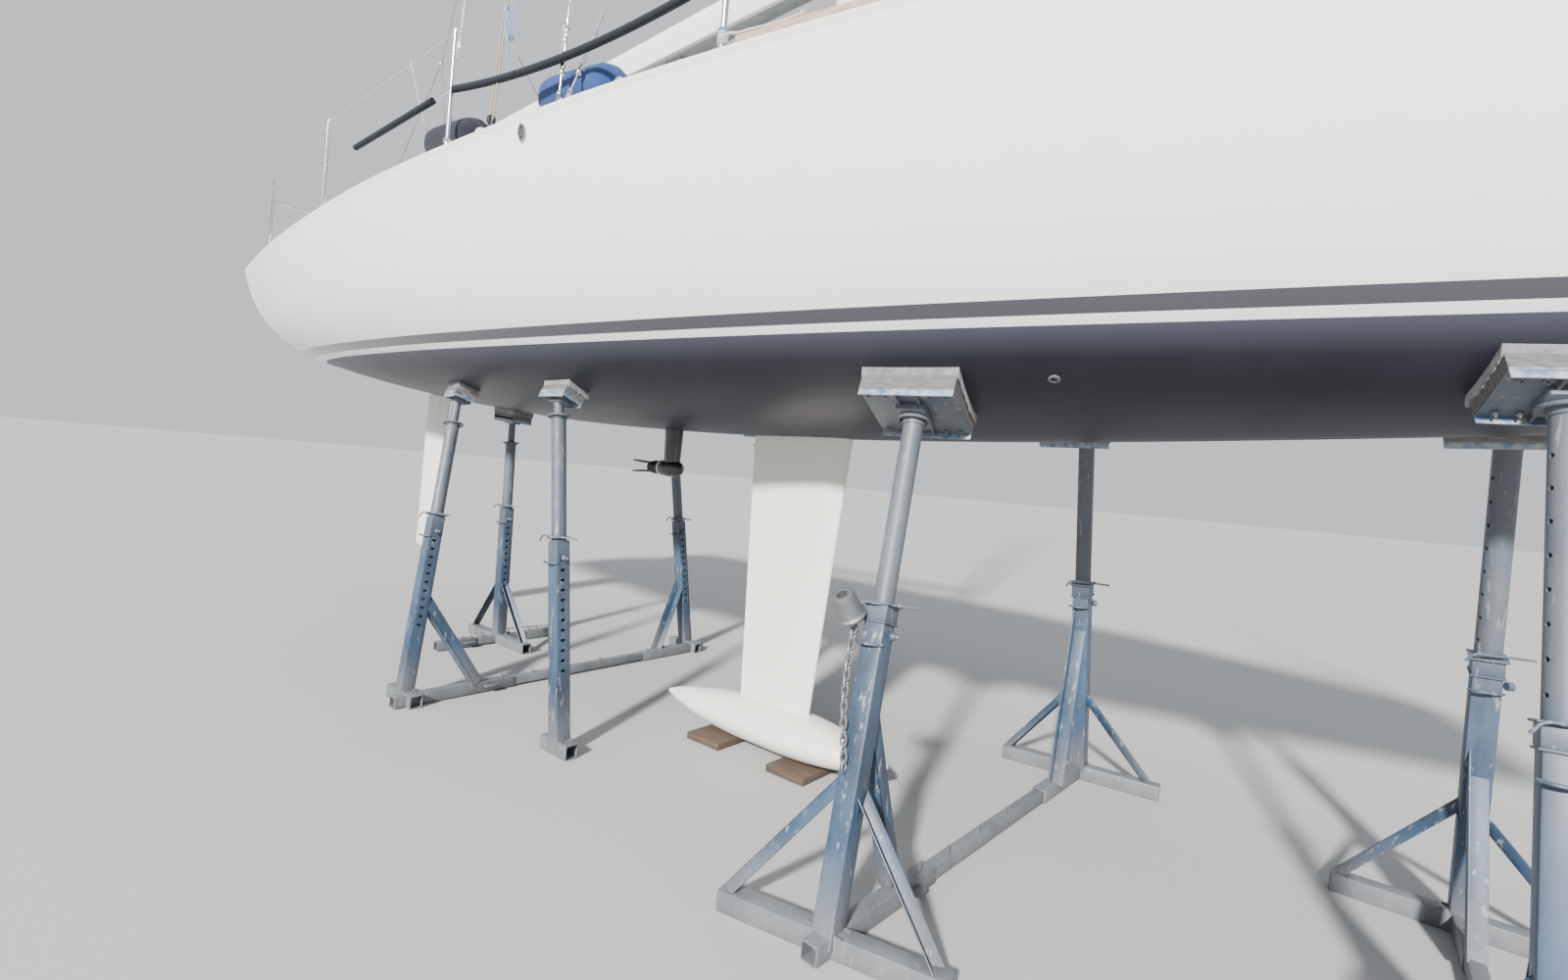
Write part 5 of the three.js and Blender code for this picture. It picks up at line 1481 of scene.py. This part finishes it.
class YACHT_OT_rails(YachtStep, bpy.types.Operator):
    """Stanchions, lifelines, pulpit and pushpits"""

    bl_idname = "yacht.rails"
    bl_label = "Rails"

    WIRE_AFT, WIRE_FRONT = -4.35, 3.85
    LOW_TUBE = 0.011
    BASE = ((0, -0.003), (0.034, -0.003), (0.034, 0.004), (0.03, 0.007), (0.018, 0.009), (0.016, 0.034),
            (0, 0.034))
    # x and height of the pulpit's corners, then x and inset of the feet under them
    PULPIT = ((3.88, 0.62, 3.875, 0.045), (4.5, 0.63, 4.44, 0.062), (5.02, 0.62, 4.76, 0.09))
    # x of the pushpit's foot, corner and gate, how far the corner is inside the sheer, y of the gate
    PUSHPIT_FRONT, PUSHPIT_CORNER, PUSHPIT_GATE, CORNER_INSET, GATE_Y = -4.38, -5.14, -5.17, 0.15, 0.44

    def make(self):
        for side, name in SIDES:
            self.lifelines(side, name)
        self.pulpit()
        for side, name in SIDES:
            self.pushpit(side, name)

    def base(self, point):
        foot = Vector((point.x, point.y, deck_top(point.x, point.y)))
        return turned(self.BASE, foot, foot + UP, 24)

    def lifelines(self, side, name):
        parts = []
        sleeve = Vector((0.016, 0, 0))
        wire, top = size("wire_height"), size("rail_height")
        upper = top - 0.012
        for x in STANCHIONS:
            foot = edge_point(x, side, 0)
            parts += [rod(foot, edge_point(x, side, top), size("rail_tube"), 24, 0.004), self.base(foot)]
            for up in (upper, wire):
                spot = edge_point(x, side, up)
                parts.append(rod(spot - sleeve, spot + sleeve, 0.005, 12, 0.002))
        xs = [self.WIRE_AFT, *STANCHIONS, self.WIRE_FRONT]
        for low, high in zip(xs, xs[1:]):
            parts.append(rod(edge_point(low, side, upper), edge_point(high, side, upper), 0.003, 10))
            aft, front = edge_point(low, side, wire), edge_point(high, side, wire)
            line = [aft.lerp(front, t) for t in spaced(0, 1, 19)]
            parts.append(pipe([Vector((p.x, p.y, p.z - wire + lower_wire(p.x))) for p in line], 0.003, 2))
        finished(combine(parts), "guard_rails_" + name, "steel", stands_for=("lifelines_" + name,))

    def pulpit(self):
        tube, wire = size("rail_tube"), size("wire_height")
        tops = [edge_point(x, 1, up) for x, up, _, _ in self.PULPIT]
        tops += [Vector((p.x, -p.y, p.z)) for p in reversed(tops)]
        parts = [pipe(rounded(tops, 0.12), tube, 3)]
        for side in (1, -1):
            for x, up, foot_x, inset in self.PULPIT:
                foot = edge_point(foot_x, side, -0.002, inset)
                parts += [rod(edge_point(x, side, up), foot, tube, 20), self.base(foot)]
            parts.append(rod(edge_point(3.88, side, wire), edge_point(4.47, side, wire), self.LOW_TUBE, 20))
        finished(combine(parts), "bow_pulpit", "steel", stands_for=("pulpit",))

    def pushpit(self, side, name):
        tube, wire, height = size("rail_tube"), size("wire_height"), size("rail_height")
        aft, x = self.PUSHPIT_CORNER, self.PUSHPIT_FRONT
        front = edge_point(x, side, height)
        corner = Vector((aft, side * (sheer_half(aft) - self.CORNER_INSET), front.z))
        gate = Vector((self.PUSHPIT_GATE, side * self.GATE_Y, front.z))
        low = Vector((0, 0, -height / 2))
        foot = edge_point(x, side, -0.002)
        under_corner, under_gate = (Vector((p.x, p.y, deck_top(p.x, p.y) - 0.002)) for p in (corner, gate))
        parts = [pipe(rounded([foot, front, corner, gate, under_gate], 0.11), tube, 3)]
        parts.append(rod(corner, under_corner, tube, 20))
        lower = [edge_point(x, side, wire), corner + low, gate + low]
        parts.append(pipe(rounded(lower, 0.08), self.LOW_TUBE, 3))
        parts += [self.base(spot) for spot in (foot, under_corner, under_gate)]
        finished(combine(parts), "stern_rail_" + name, "steel", stands_for=("pushpit_" + name,))


class YACHT_OT_padding(YachtStep, bpy.types.Operator):
    """Foam tubes on the lower starboard lifeline"""

    bl_idname = "yacht.padding"
    bl_label = "Lifeline padding"

    def make(self):
        for name, aft, front in (("foam_forward", -1.045, 0.69), ("foam_aft", -2.3, -1.27)):
            points = []
            for x in spaced(aft, front, 40):
                start, end = STANCHIONS[1:3] if x > STANCHIONS[1] else STANCHIONS[:2]
                p = edge_point(start, -1, 0).lerp(edge_point(end, -1, 0), (x - start) / (end - start))
                points.append(Vector((p.x, p.y, p.z + lower_wire(x))))
            foam = pipe(points, size("foam_radius"), 5)
            finished(foam, name, "foam")


def smooth_line(knots, steps=6):
    """Points on a smooth curve through the knots."""
    knots = [Vector(k) for k in knots]
    padded = [2 * knots[0] - knots[1], *knots, 2 * knots[-1] - knots[-2]]
    line = []
    for before, a, b, after in zip(padded, padded[1:], padded[2:], padded[3:]):
        for k in range(steps):
            t = k / steps
            line.append(0.5 * (2 * a + (b - before) * t + (2 * before - 5 * a + 4 * b - after) * t**2
                               + (3 * a - before - 3 * b + after) * t**3))
    line.append(knots[-1])
    return line


def free_rope(name, knots, radius, coat):
    """A rope along a smooth line through the knots."""
    line = smooth_line(knots)
    rope = pipe(line, radius, 3)
    finished(rope, name, coat, angle=60)


class YACHT_OT_lines(YachtStep, bpy.types.Operator):
    """Tackle and halyards hooked to the rail, and the ropes tied there"""

    bl_idname = "yacht.lines"
    bl_label = "Lines"

    # Tackle: its foot on the deck and its upper block. Halyards: their shackle and the block above it
    TACKLE_FOOT, TACKLE_HEAD = (-0.709, -1.5), Vector((-0.632, -1.497, 3.94))
    SHACKLE, HALYARD_HEAD = Vector((-1.052, -1.52, 3.67)), Vector((-1.046, -1.51, 3.96))
    # Hank: where it hangs from, its middle, half width, half its straight height, its turns, its tail
    HANK_START = ((-0.640, -1.507, 3.78), (-0.608, -1.512, 3.765), (-0.578, -1.512, 3.735))
    HANK_MIDDLE, HANK_HALF, HANK_STRAIGHT, HANK_TURNS = Vector((-0.553, -1.512, 3.62)), 0.018, 0.066, 3
    HANK_TAIL = ((0.02, -0.009, -0.01), (0.032, -0.011, -0.06), (0.042, -0.01, -0.14), (0.052, -0.008, -0.22),
                 (0.06, -0.008, -0.3))
    # Lashings: stanchion, turns, height of the first, coat
    LASHINGS = ((STANCHIONS[2], 5, 0.042, "white_rope"), (STANCHIONS[1], 2, 0.042, "steel"),
                (STANCHIONS[2], 2, 0.085, "blue_rope"))
    # Fender ropes: name, eye of the fender, x and height of the knot on the rail
    FENDER_ROPES = (("fender_rope_blue", (-0.6115, -1.255, 3.357), (-0.5, 0.32)),
                    ("fender_rope_navy", (-1.5465, -1.385, 3.292), (-1.54, 0.6)))
    # Line round the turnbuckle: x, how far outside the chainplate, height
    SCREW_LOOP = ((-0.222, 0.004, 3.53), (-0.198, 0.018, 3.522), (-0.178, 0.028, 3.49), (-0.174, 0.03, 3.45),
                  (-0.186, 0.026, 3.408), (-0.208, 0.018, 3.385), (-0.223, 0.01, 3.38))

    def make(self):
        self.tackle()
        self.halyards()
        self.hank()
        self.lashings()
        self.rail_rope()
        self.fender_ropes()
        self.screw_loop()

    def pulley(self, centre, way, scale=1.0):
        """A small block: two cheeks, its wheel and strap, with the strap towards way."""
        place = frame_along(centre, centre + way)
        parts = []
        for x in (-0.0085, 0.0085):
            cheek = rod((x - 0.0015, 0, 0), (x + 0.0015, 0, 0), 0.019, 28, 0.0008)
            for point in cheek.data.vertices:
                point.co.z *= 1.25
            parts.append(paint(cheek, "rubber"))
        parts.append(paint(rod((-0.006, 0, 0), (0.006, 0, 0), 0.015, 28, 0.002), "alloy"))
        metal = [rod((-0.013, 0, 0), (0.013, 0, 0), 0.004, 14, 0.001)]
        metal += [block((x - 0.001, -0.005, -0.008), (x + 0.001, 0.005, 0.034), 0.0006)
                  for x in (-0.0115, 0.0115)]
        metal.append(block((-0.0125, -0.005, 0.031), (0.0125, 0.005, 0.034), 0.0006))
        metal.append(moved(torus(0.012, 0.0028, 22, 10),
                           Matrix.Translation((0, 0, 0.044)) @ Matrix.Rotation(math.pi / 2, 4, "X")))
        parts += [paint(piece, "steel") for piece in metal]
        return [moved(part, place @ Matrix.Scale(scale, 4)) for part in parts]

    def tackle(self):
        foot = Vector((*self.TACKLE_FOOT, deck_top(*self.TACKLE_FOOT)))
        low, high = foot + Vector((0.003, 0, 0.075)), self.TACKLE_HEAD
        way = (high - low).normalized()
        parts = self.pulley(low, -way) + self.pulley(high, way, 1.15)
        parts.append(paint(block_at(foot, (-0.024, -0.013, -0.002), (0.024, 0.013, 0.004)), "steel"))
        corners = ((-0.012, 0.002), (-0.012, 0.03), (0.012, 0.03), (0.012, 0.002))
        eye = [foot + Vector((x, 0, z)) for x, z in corners]
        parts.append(paint(pipe(rounded(eye, 0.01), 0.003, 3), "steel"))
        for aside in (-0.0145, 0.0145):
            shift = Vector((aside, 0, 0))
            ends = low + shift + way * 0.002, high + shift - way * 0.002
            parts.append(paint(rod(*ends, 0.0042, 12), "tan_rope"))
        finished(combine(parts), "tackle", "tan_rope")

    def halyards(self):
        """Two thin halyards shackled to the stanchion; they run up to a small block."""
        foot = edge_point(STANCHIONS[1], -1, 0.325) + Vector((0, -0.004, 0))
        shackle, top = self.SHACKLE, self.HALYARD_HEAD
        parts = [paint(rod(foot, shackle, 0.0028, 10), "white_rope")]
        for aside in (-0.009, 0.009):
            start, end = shackle + Vector((aside * 0.3, 0, 0.012)), top + Vector((aside, 0, 0))
            parts.append(paint(rod(start, end, 0.0026, 10), "white_rope"))
        parts += self.pulley(top, UP, 0.9)
        parts.append(paint(rod(shackle - UP * 0.016, shackle + UP * 0.016, 0.0055, 14, 0.002), "steel"))
        finished(combine(parts), "halyards", "white_rope")

    def hank(self):
        """A hank of thin line hung on the tackle, with its tail hanging down."""
        knots = [Vector(knot) for knot in self.HANK_START]
        for k in range(self.HANK_TURNS * 16 + 1):
            turn = TAU * k / 16
            x, z = self.HANK_HALF * math.sin(turn), self.HANK_HALF * math.cos(turn)
            z += self.HANK_STRAIGHT * max(-1, min(1, 2.2 * math.cos(turn)))
            knots.append(self.HANK_MIDDLE + Vector((x - 0.16 * z, -0.01 * turn / TAU, z)))
        last = knots[-1]
        knots += [last + Vector(step) for step in self.HANK_TAIL]
        free_rope("hank", knots, 0.0032, "blue_rope")

    def lashings(self):
        parts = []
        for x, turns, first, coat in self.LASHINGS:
            for k in range(turns):
                tilt = Matrix.Rotation(0.16 * math.sin(2.1 * k + 1), 4, "X")
                place = Matrix.Translation(edge_point(x, -1, first + 0.0085 * k)) @ tilt
                parts.append(paint(moved(torus(0.0165, 0.0042, 28, 10), place), coat))
        finished(combine(parts), "lashings", "white_rope")

    def rail_rope(self):
        """From the lashing of the third stanchion along the top of the toe rail."""

        def on_rail(x, up):
            y = -(sheer_half(x) - 0.019)
            return Vector((x, y, deck_top(x, y) + up))

        knots = [edge_point(0.741, -1, 0.06) + Vector((0, -0.006, 0))]
        knots += [on_rail(0.775, 0.056), on_rail(0.815, 0.047)]
        for x in spaced(0.86, 1.08, 6):
            knots.append(on_rail(x, 0.0445) + Vector((0, 0.004 * math.sin(21 * x), 0)))
        deselect()
        bpy.ops.mesh.primitive_uv_sphere_add(segments=20, ring_count=12, radius=0.011, location=knots[-1])
        knot = finished(bpy.context.object, "rail_rope_knot", "white_rope")
        free_rope("rail_rope", knots, 0.005, "white_rope")

    def fender_ropes(self):
        for name, eye, (x, up) in self.FENDER_ROPES:
            eye, hold = Vector(eye), edge_point(x, -1, up)
            slack = 0.12 * (hold - eye).length
            knots = [eye.lerp(hold, t) - UP * slack * 4 * t * (1 - t) * (1 - 0.5 * t)
                     for t in spaced(0, 1, 7)]
            free_rope(name, knots, 0.004, "white_rope")

    def screw_loop(self):
        """A short line tied round the starboard turnbuckle."""
        y = -(sheer_half(YACHT_OT_rig.PLATE_X) - YACHT_OT_rig.PLATE_INSET)
        knots = [(x, y - out, z) for x, out, z in self.SCREW_LOOP]
        free_rope("screw_rope", knots, 0.004, "white_rope")


class YACHT_OT_fenders(YachtStep, bpy.types.Operator):
    """Fenders in fleece covers on the side deck"""

    bl_idname = "yacht.fenders"
    bl_label = "Fenders"

    # node, aft end, forward end, y, radius, how far its lashing lifts the aft end, cover
    FENDERS = (
        ("fender_blue", -0.585, -0.01, -1.255, 0.128, 0.07, "blue_fleece"),
        ("fender_navy", -1.52, -0.99, -1.385, 0.11, 0.045, "navy_fleece"),
    )
    # A cap's profile: share of its radius, height
    CAP = ((0, 0), (1, 0), (1.04, 0.004), (1, 0.012), (0.8, 0.02), (0.3, 0.024), (0, 0.024))
    COLLAR = ((0, 0), (0.03, 0), (0.032, 0.006), (0.026, 0.016), (0, 0.016))

    def make(self):
        for node, aft, front, y, radius, lift, coat in self.FENDERS:
            z = deck_top((aft + front) / 2, y) + radius * 0.99
            cover = self.cover(aft, front, y, z, radius * 0.985, lift)
            finished(cover, node + "_cover", coat, stands_for=(node,), angle=80)
            profile = [(radius * 0.42 * r, h) for r, h in self.CAP]
            cap = turned(profile, (front - 0.02, y, z), (front, y, z), 32)
            finished(cap, node + "_end", "vinyl")
            self.eye(node, aft, y, z + lift)

    def cover(self, aft, front, y, z, radius, lift):
        """A stuffed sleeve, gathered by its hems into small folds at both ends."""
        length = front - aft

        def point(u, v):
            t = min(1, min(u, 1 - u) * length / 0.11)
            round_off = math.sqrt(max(0, 1 - (1 - t) ** 2.4))
            turn = TAU * v
            fold = 0.035 * math.cos(11 * turn + 2 * math.sin(turn)) * (1 - t) ** 1.2
            sag = 0.012 * math.sin(7 * u + 1.3) * math.sin(2 * turn + 0.7)
            r = radius * max(0, round_off * (0.985 + fold + sag))
            return Vector((aft + length * u, y + r * math.cos(turn), z + lift * (1 - u) + r * math.sin(turn)))

        return surface(72, 96, point)

    def eye(self, node, aft, y, z):
        lug = moved(torus(0.018, 0.007, 28, 12),
                    Matrix.Translation((aft - 0.008, y, z)) @ Matrix.Rotation(math.pi / 2, 4, "X"))
        collar = turned(self.COLLAR, (aft + 0.014, y, z), (aft - 1, y, z), 28)
        finished(combine([lug, collar]), node + "_eye", "vinyl")


class YACHT_OT_fittings(YachtStep, bpy.types.Operator):
    """Winches, topside vent and through-hull fitting"""

    bl_idname = "yacht.fittings"
    bl_label = "Fittings"

    # name, x, y, height of the seat where it isn't the CAD's, scale
    WINCHES = (("primary", -3.0, 1.04, 3.29, 1.0), ("roof", -1.15, 0.59, None, 0.8))
    WINCH_HIGH, GROOVES = 0.146, 18
    DRUM = ((0, 0), (0.078, 0), (0.078, 0.006), (0.075, 0.014), (0.06, 0.03), (0.053, 0.045), (0.051, 0.075),
            (0.054, 0.095), (0.061, 0.108), (0.071, 0.114), (0.0725, 0.118), (0.0725, 0.128), (0.07, 0.131),
            (0.045, 0.133), (0.041, 0.142), (0.036, 0.146), (0.014, 0.146), (0.013, 0.135), (0, 0.135))
    VENT = (-0.36, 3.056)
    VENT_RIM = ((0.02, -0.004), (0.026, 0.0), (0.028, 0.003), (0.0265, 0.006), (0.0215, 0.007), (0.02, 0.002),
                (0.02, -0.004))
    # A dark disc under the grille: painted shade inside the vent.
    VENT_DARK_DISC = ((0, -0.004), (0.021, -0.004), (0.021, 0.001), (0.01, 0.003), (0, 0.003))
    THROUGH_HULL = (1.84, -0.66)
    OUTLET_RIM = ((0.011, -0.004), (0.02, -0.003), (0.022, 0.002), (0.019, 0.005), (0.013, 0.006),
                  (0.011, 0.003), (0.011, -0.004))
    OUTLET_HOLE = ((0, -0.002), (0.0115, -0.002), (0.0115, 0.0), (0, 0.0))

    def make(self):
        for name, x, y, seat, scale in self.WINCHES:
            for side, hand in SIDES:
                self.winch(f"winch_{name}_{hand}", x, side * y, seat, scale)
        self.vent()
        self.through_hull()

    def winch(self, node, x, y, seat, scale):
        base = seat + 0.0003 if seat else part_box(node)[1].z - self.WINCH_HIGH * scale
        drum = turned([(r * scale, h * scale) for r, h in self.DRUM], (x, y, base), (x, y, base + 1), 48)
        out = 0.062 * scale
        grooves = [rod((x + out * math.cos(a), y + out * math.sin(a), base + 0.036 * scale),
                       (x + out * math.cos(a + 0.25), y + out * math.sin(a + 0.25), base + 0.1 * scale),
                       0.0085 * scale, 8)
                   for a in spaced(0, TAU * (self.GROOVES - 1) / self.GROOVES, self.GROOVES)]
        finished(carve(drum, combine(grooves)), node + "_drum", "steel", stands_for=(node,))

    def vent(self):
        x, z = self.VENT
        step = 0.03
        centre = Vector((x, -hull_side(x, z), z))
        rise = (hull_side(x, z + step) - hull_side(x, z - step)) / (2 * step)
        run = (hull_side(x + step, z) - hull_side(x - step, z)) / (2 * step)
        outward = Vector((-run, -1, -rise)).normalized()
        rim = paint(turned(self.VENT_RIM, (0, 0, 0), (0, 0, 1), 48), "steel")
        # The dark disc under the bars paints the shade inside the vent's opening.
        dark_disc = paint(turned(self.VENT_DARK_DISC, (0, 0, 0), (0, 0, 1), 40), "rubber")
        bars = [paint(block((-0.019, y - 0.0012, 0.002), (0.019, y + 0.0012, 0.005), 0.001), "steel")
                for y in (-0.007, 0.0, 0.007)]
        made = combine([rim, dark_disc, *bars])
        for point in made.data.vertices:
            point.co.y *= 1.5
        finished(moved(made, frame_along(centre, centre + outward)), "topside_vent", "steel")

    def through_hull(self):
        rim = paint(turned(self.OUTLET_RIM, (0, 0, 0), (0, 0, 1), 32), "galvanised")
        # The dark disc just inside the rim paints the shade inside the outlet's bore.
        hole = paint(turned(self.OUTLET_HOLE, (0, 0, 0), (0, 0, 1), 24), "rubber")
        flip = head_place(*self.THROUGH_HULL) @ Matrix.Rotation(math.pi, 4, "X")
        finished(moved(combine([rim, hole]), flip), "through_hull", "galvanised")


# Settings, panel and main


def colour_setting(name, description, default):
    return bpy.props.FloatVectorProperty(
        name=name, description=description, subtype="COLOR", size=3, min=0, max=1, default=default)


def length_setting(name, description, default):
    return bpy.props.FloatProperty(
        name=name, description=description, unit="LENGTH", precision=4, min=0.001, default=default)


def angle_setting(name, description, degrees):
    return bpy.props.FloatProperty(
        name=name, description=description, subtype="ANGLE", unit="ROTATION", default=math.radians(degrees))


class YachtColours(bpy.types.PropertyGroup):
    """Base colours of the finishes"""

    topsides: colour_setting("Topsides", "Gelcoat above the boot stripe", (0.89, 0.895, 0.89))
    stripe: colour_setting("Boot stripe", "Grey stripe at the waterline", (0.06, 0.055, 0.07))
    bottom: colour_setting("Bottom", "Antifouling paint", (0.026, 0.026, 0.037))
    deck: colour_setting("Deck", "Deck mouldings", (0.74, 0.74, 0.71))
    keel: colour_setting("Keel", "Epoxy on the fin and bulb", (0.76, 0.73, 0.67))
    spar: colour_setting("Spars", "Enamel on mast and boom", (0.78, 0.78, 0.76))
    drive: colour_setting("Drive", "Paint of the saildrive leg", (0.02, 0.02, 0.024))
    engine: colour_setting("Engine", "Engine paint", (0.12, 0.15, 0.14))
    props: colour_setting("Props", "Paint of the steel props", (0.026, 0.053, 0.096))
    boards: colour_setting("Boards", "Boards under the keel", (0.075, 0.05, 0.036))
    # Timber of the pads: the wood's own dark weathered tone, taken darker still as painted shade under the
    # hull.
    timber: colour_setting("Timber", "Pads on the prop heads", (0.127, 0.12, 0.12))
    carpet: colour_setting("Carpet", "Carpet on the prop heads", (0.24, 0.232, 0.242))
    teak: colour_setting("Teak", "Toe rail", (0.42, 0.31, 0.24))
    blue_cloth: colour_setting("Blue cover", "Fleece of the blue fender", (0.011, 0.04, 0.15))
    navy_cloth: colour_setting("Navy cover", "Fleece of the navy fender", (0.004, 0.0055, 0.014))
    foam: colour_setting("Foam", "Padding on the lifelines", (0.005, 0.007, 0.014))
    # Rubber also paints the shade inside the vent and the through-hull outlet, as dark discs.
    rubber: colour_setting("Rubber", "Rubber and plastic fittings", (0.03, 0.03, 0.032))
    vinyl: colour_setting("Vinyl", "Ends of the fenders", (0.72, 0.72, 0.7))
    white_rope: colour_setting("White rope", "White lines", (0.7, 0.69, 0.65))
    tan_rope: colour_setting("Tan rope", "Tackle line", (0.5, 0.38, 0.26))
    blue_rope: colour_setting("Blue rope", "Pale blue line", (0.25, 0.4, 0.6))


class YachtSizes(bpy.types.PropertyGroup):
    """Some sizes of the yacht and her props, and where she is seen from"""

    rail_height: length_setting("Rail height", "Top of the stanchions above the deck", 0.62)
    rail_tube: length_setting("Rail tube", "Radius of the rails' tubes", 0.0125)
    wire_height: length_setting("Lower wire", "Height of the lower lifeline above the deck", 0.31)
    foam_radius: length_setting("Foam", "Radius of the lifeline padding", 0.0175)
    post_width: length_setting("Prop post", "Width of the props' square posts", 0.088)
    tube_radius: length_setting("Prop tube", "Radius of the tubes in the posts", 0.041)
    view_place: bpy.props.FloatVectorProperty(
        name="Eye", description="Place of the camera", subtype="TRANSLATION", unit="LENGTH", size=3,
        default=(2.7, -3.25, 1.6))
    view_turn: angle_setting("Turn", "Angle of the view away from square on", 38.402)
    view_pitch: angle_setting("Pitch", "Tilt of the view", -0.992)
    view_roll: angle_setting("Roll", "Roll of the view", 5.07)
    view_lens: bpy.props.FloatProperty(
        name="Lens", description="Focal length in millimetres", unit="CAMERA", default=16.282, min=5, max=200)


STEPS = (
    YACHT_OT_stage,
    YACHT_OT_hull,
    YACHT_OT_deck,
    YACHT_OT_coachroof,
    YACHT_OT_cockpit,
    YACHT_OT_keel,
    YACHT_OT_drive,
    YACHT_OT_props,
    YACHT_OT_jack,
    YACHT_OT_rig,
    YACHT_OT_rails,
    YACHT_OT_padding,
    YACHT_OT_lines,
    YACHT_OT_fenders,
    YACHT_OT_fittings,
)


class YACHT_PT_panel(bpy.types.Panel):
    """Lists the steps and the settings"""

    bl_idname = "YACHT_PT_panel"
    bl_label = "Yacht"
    bl_space_type = "VIEW_3D"
    bl_region_type = "UI"
    bl_category = "Yacht"

    def draw(self, context):
        for step in STEPS:
            self.layout.operator(step.bl_idname)
        for group in (context.scene.yacht_sizes, context.scene.yacht_colours):
            box = self.layout.box()
            for key in group.__annotations__:
                box.prop(group, key)


def register():
    for group in (YachtColours, YachtSizes, *STEPS, YACHT_PT_panel):
        bpy.utils.register_class(group)
    bpy.types.Scene.yacht_colours = bpy.props.PointerProperty(type=YachtColours)
    bpy.types.Scene.yacht_sizes = bpy.props.PointerProperty(type=YachtSizes)


def unregister():
    del bpy.types.Scene.yacht_sizes
    del bpy.types.Scene.yacht_colours
    for group in (YACHT_PT_panel, *reversed(STEPS), YachtSizes, YachtColours):
        bpy.utils.unregister_class(group)


def main():
    register()
    for step in STEPS:
        group, name = step.bl_idname.split(".")
        getattr(getattr(bpy.ops, group), name)()


if __name__ == "__main__":
    main()
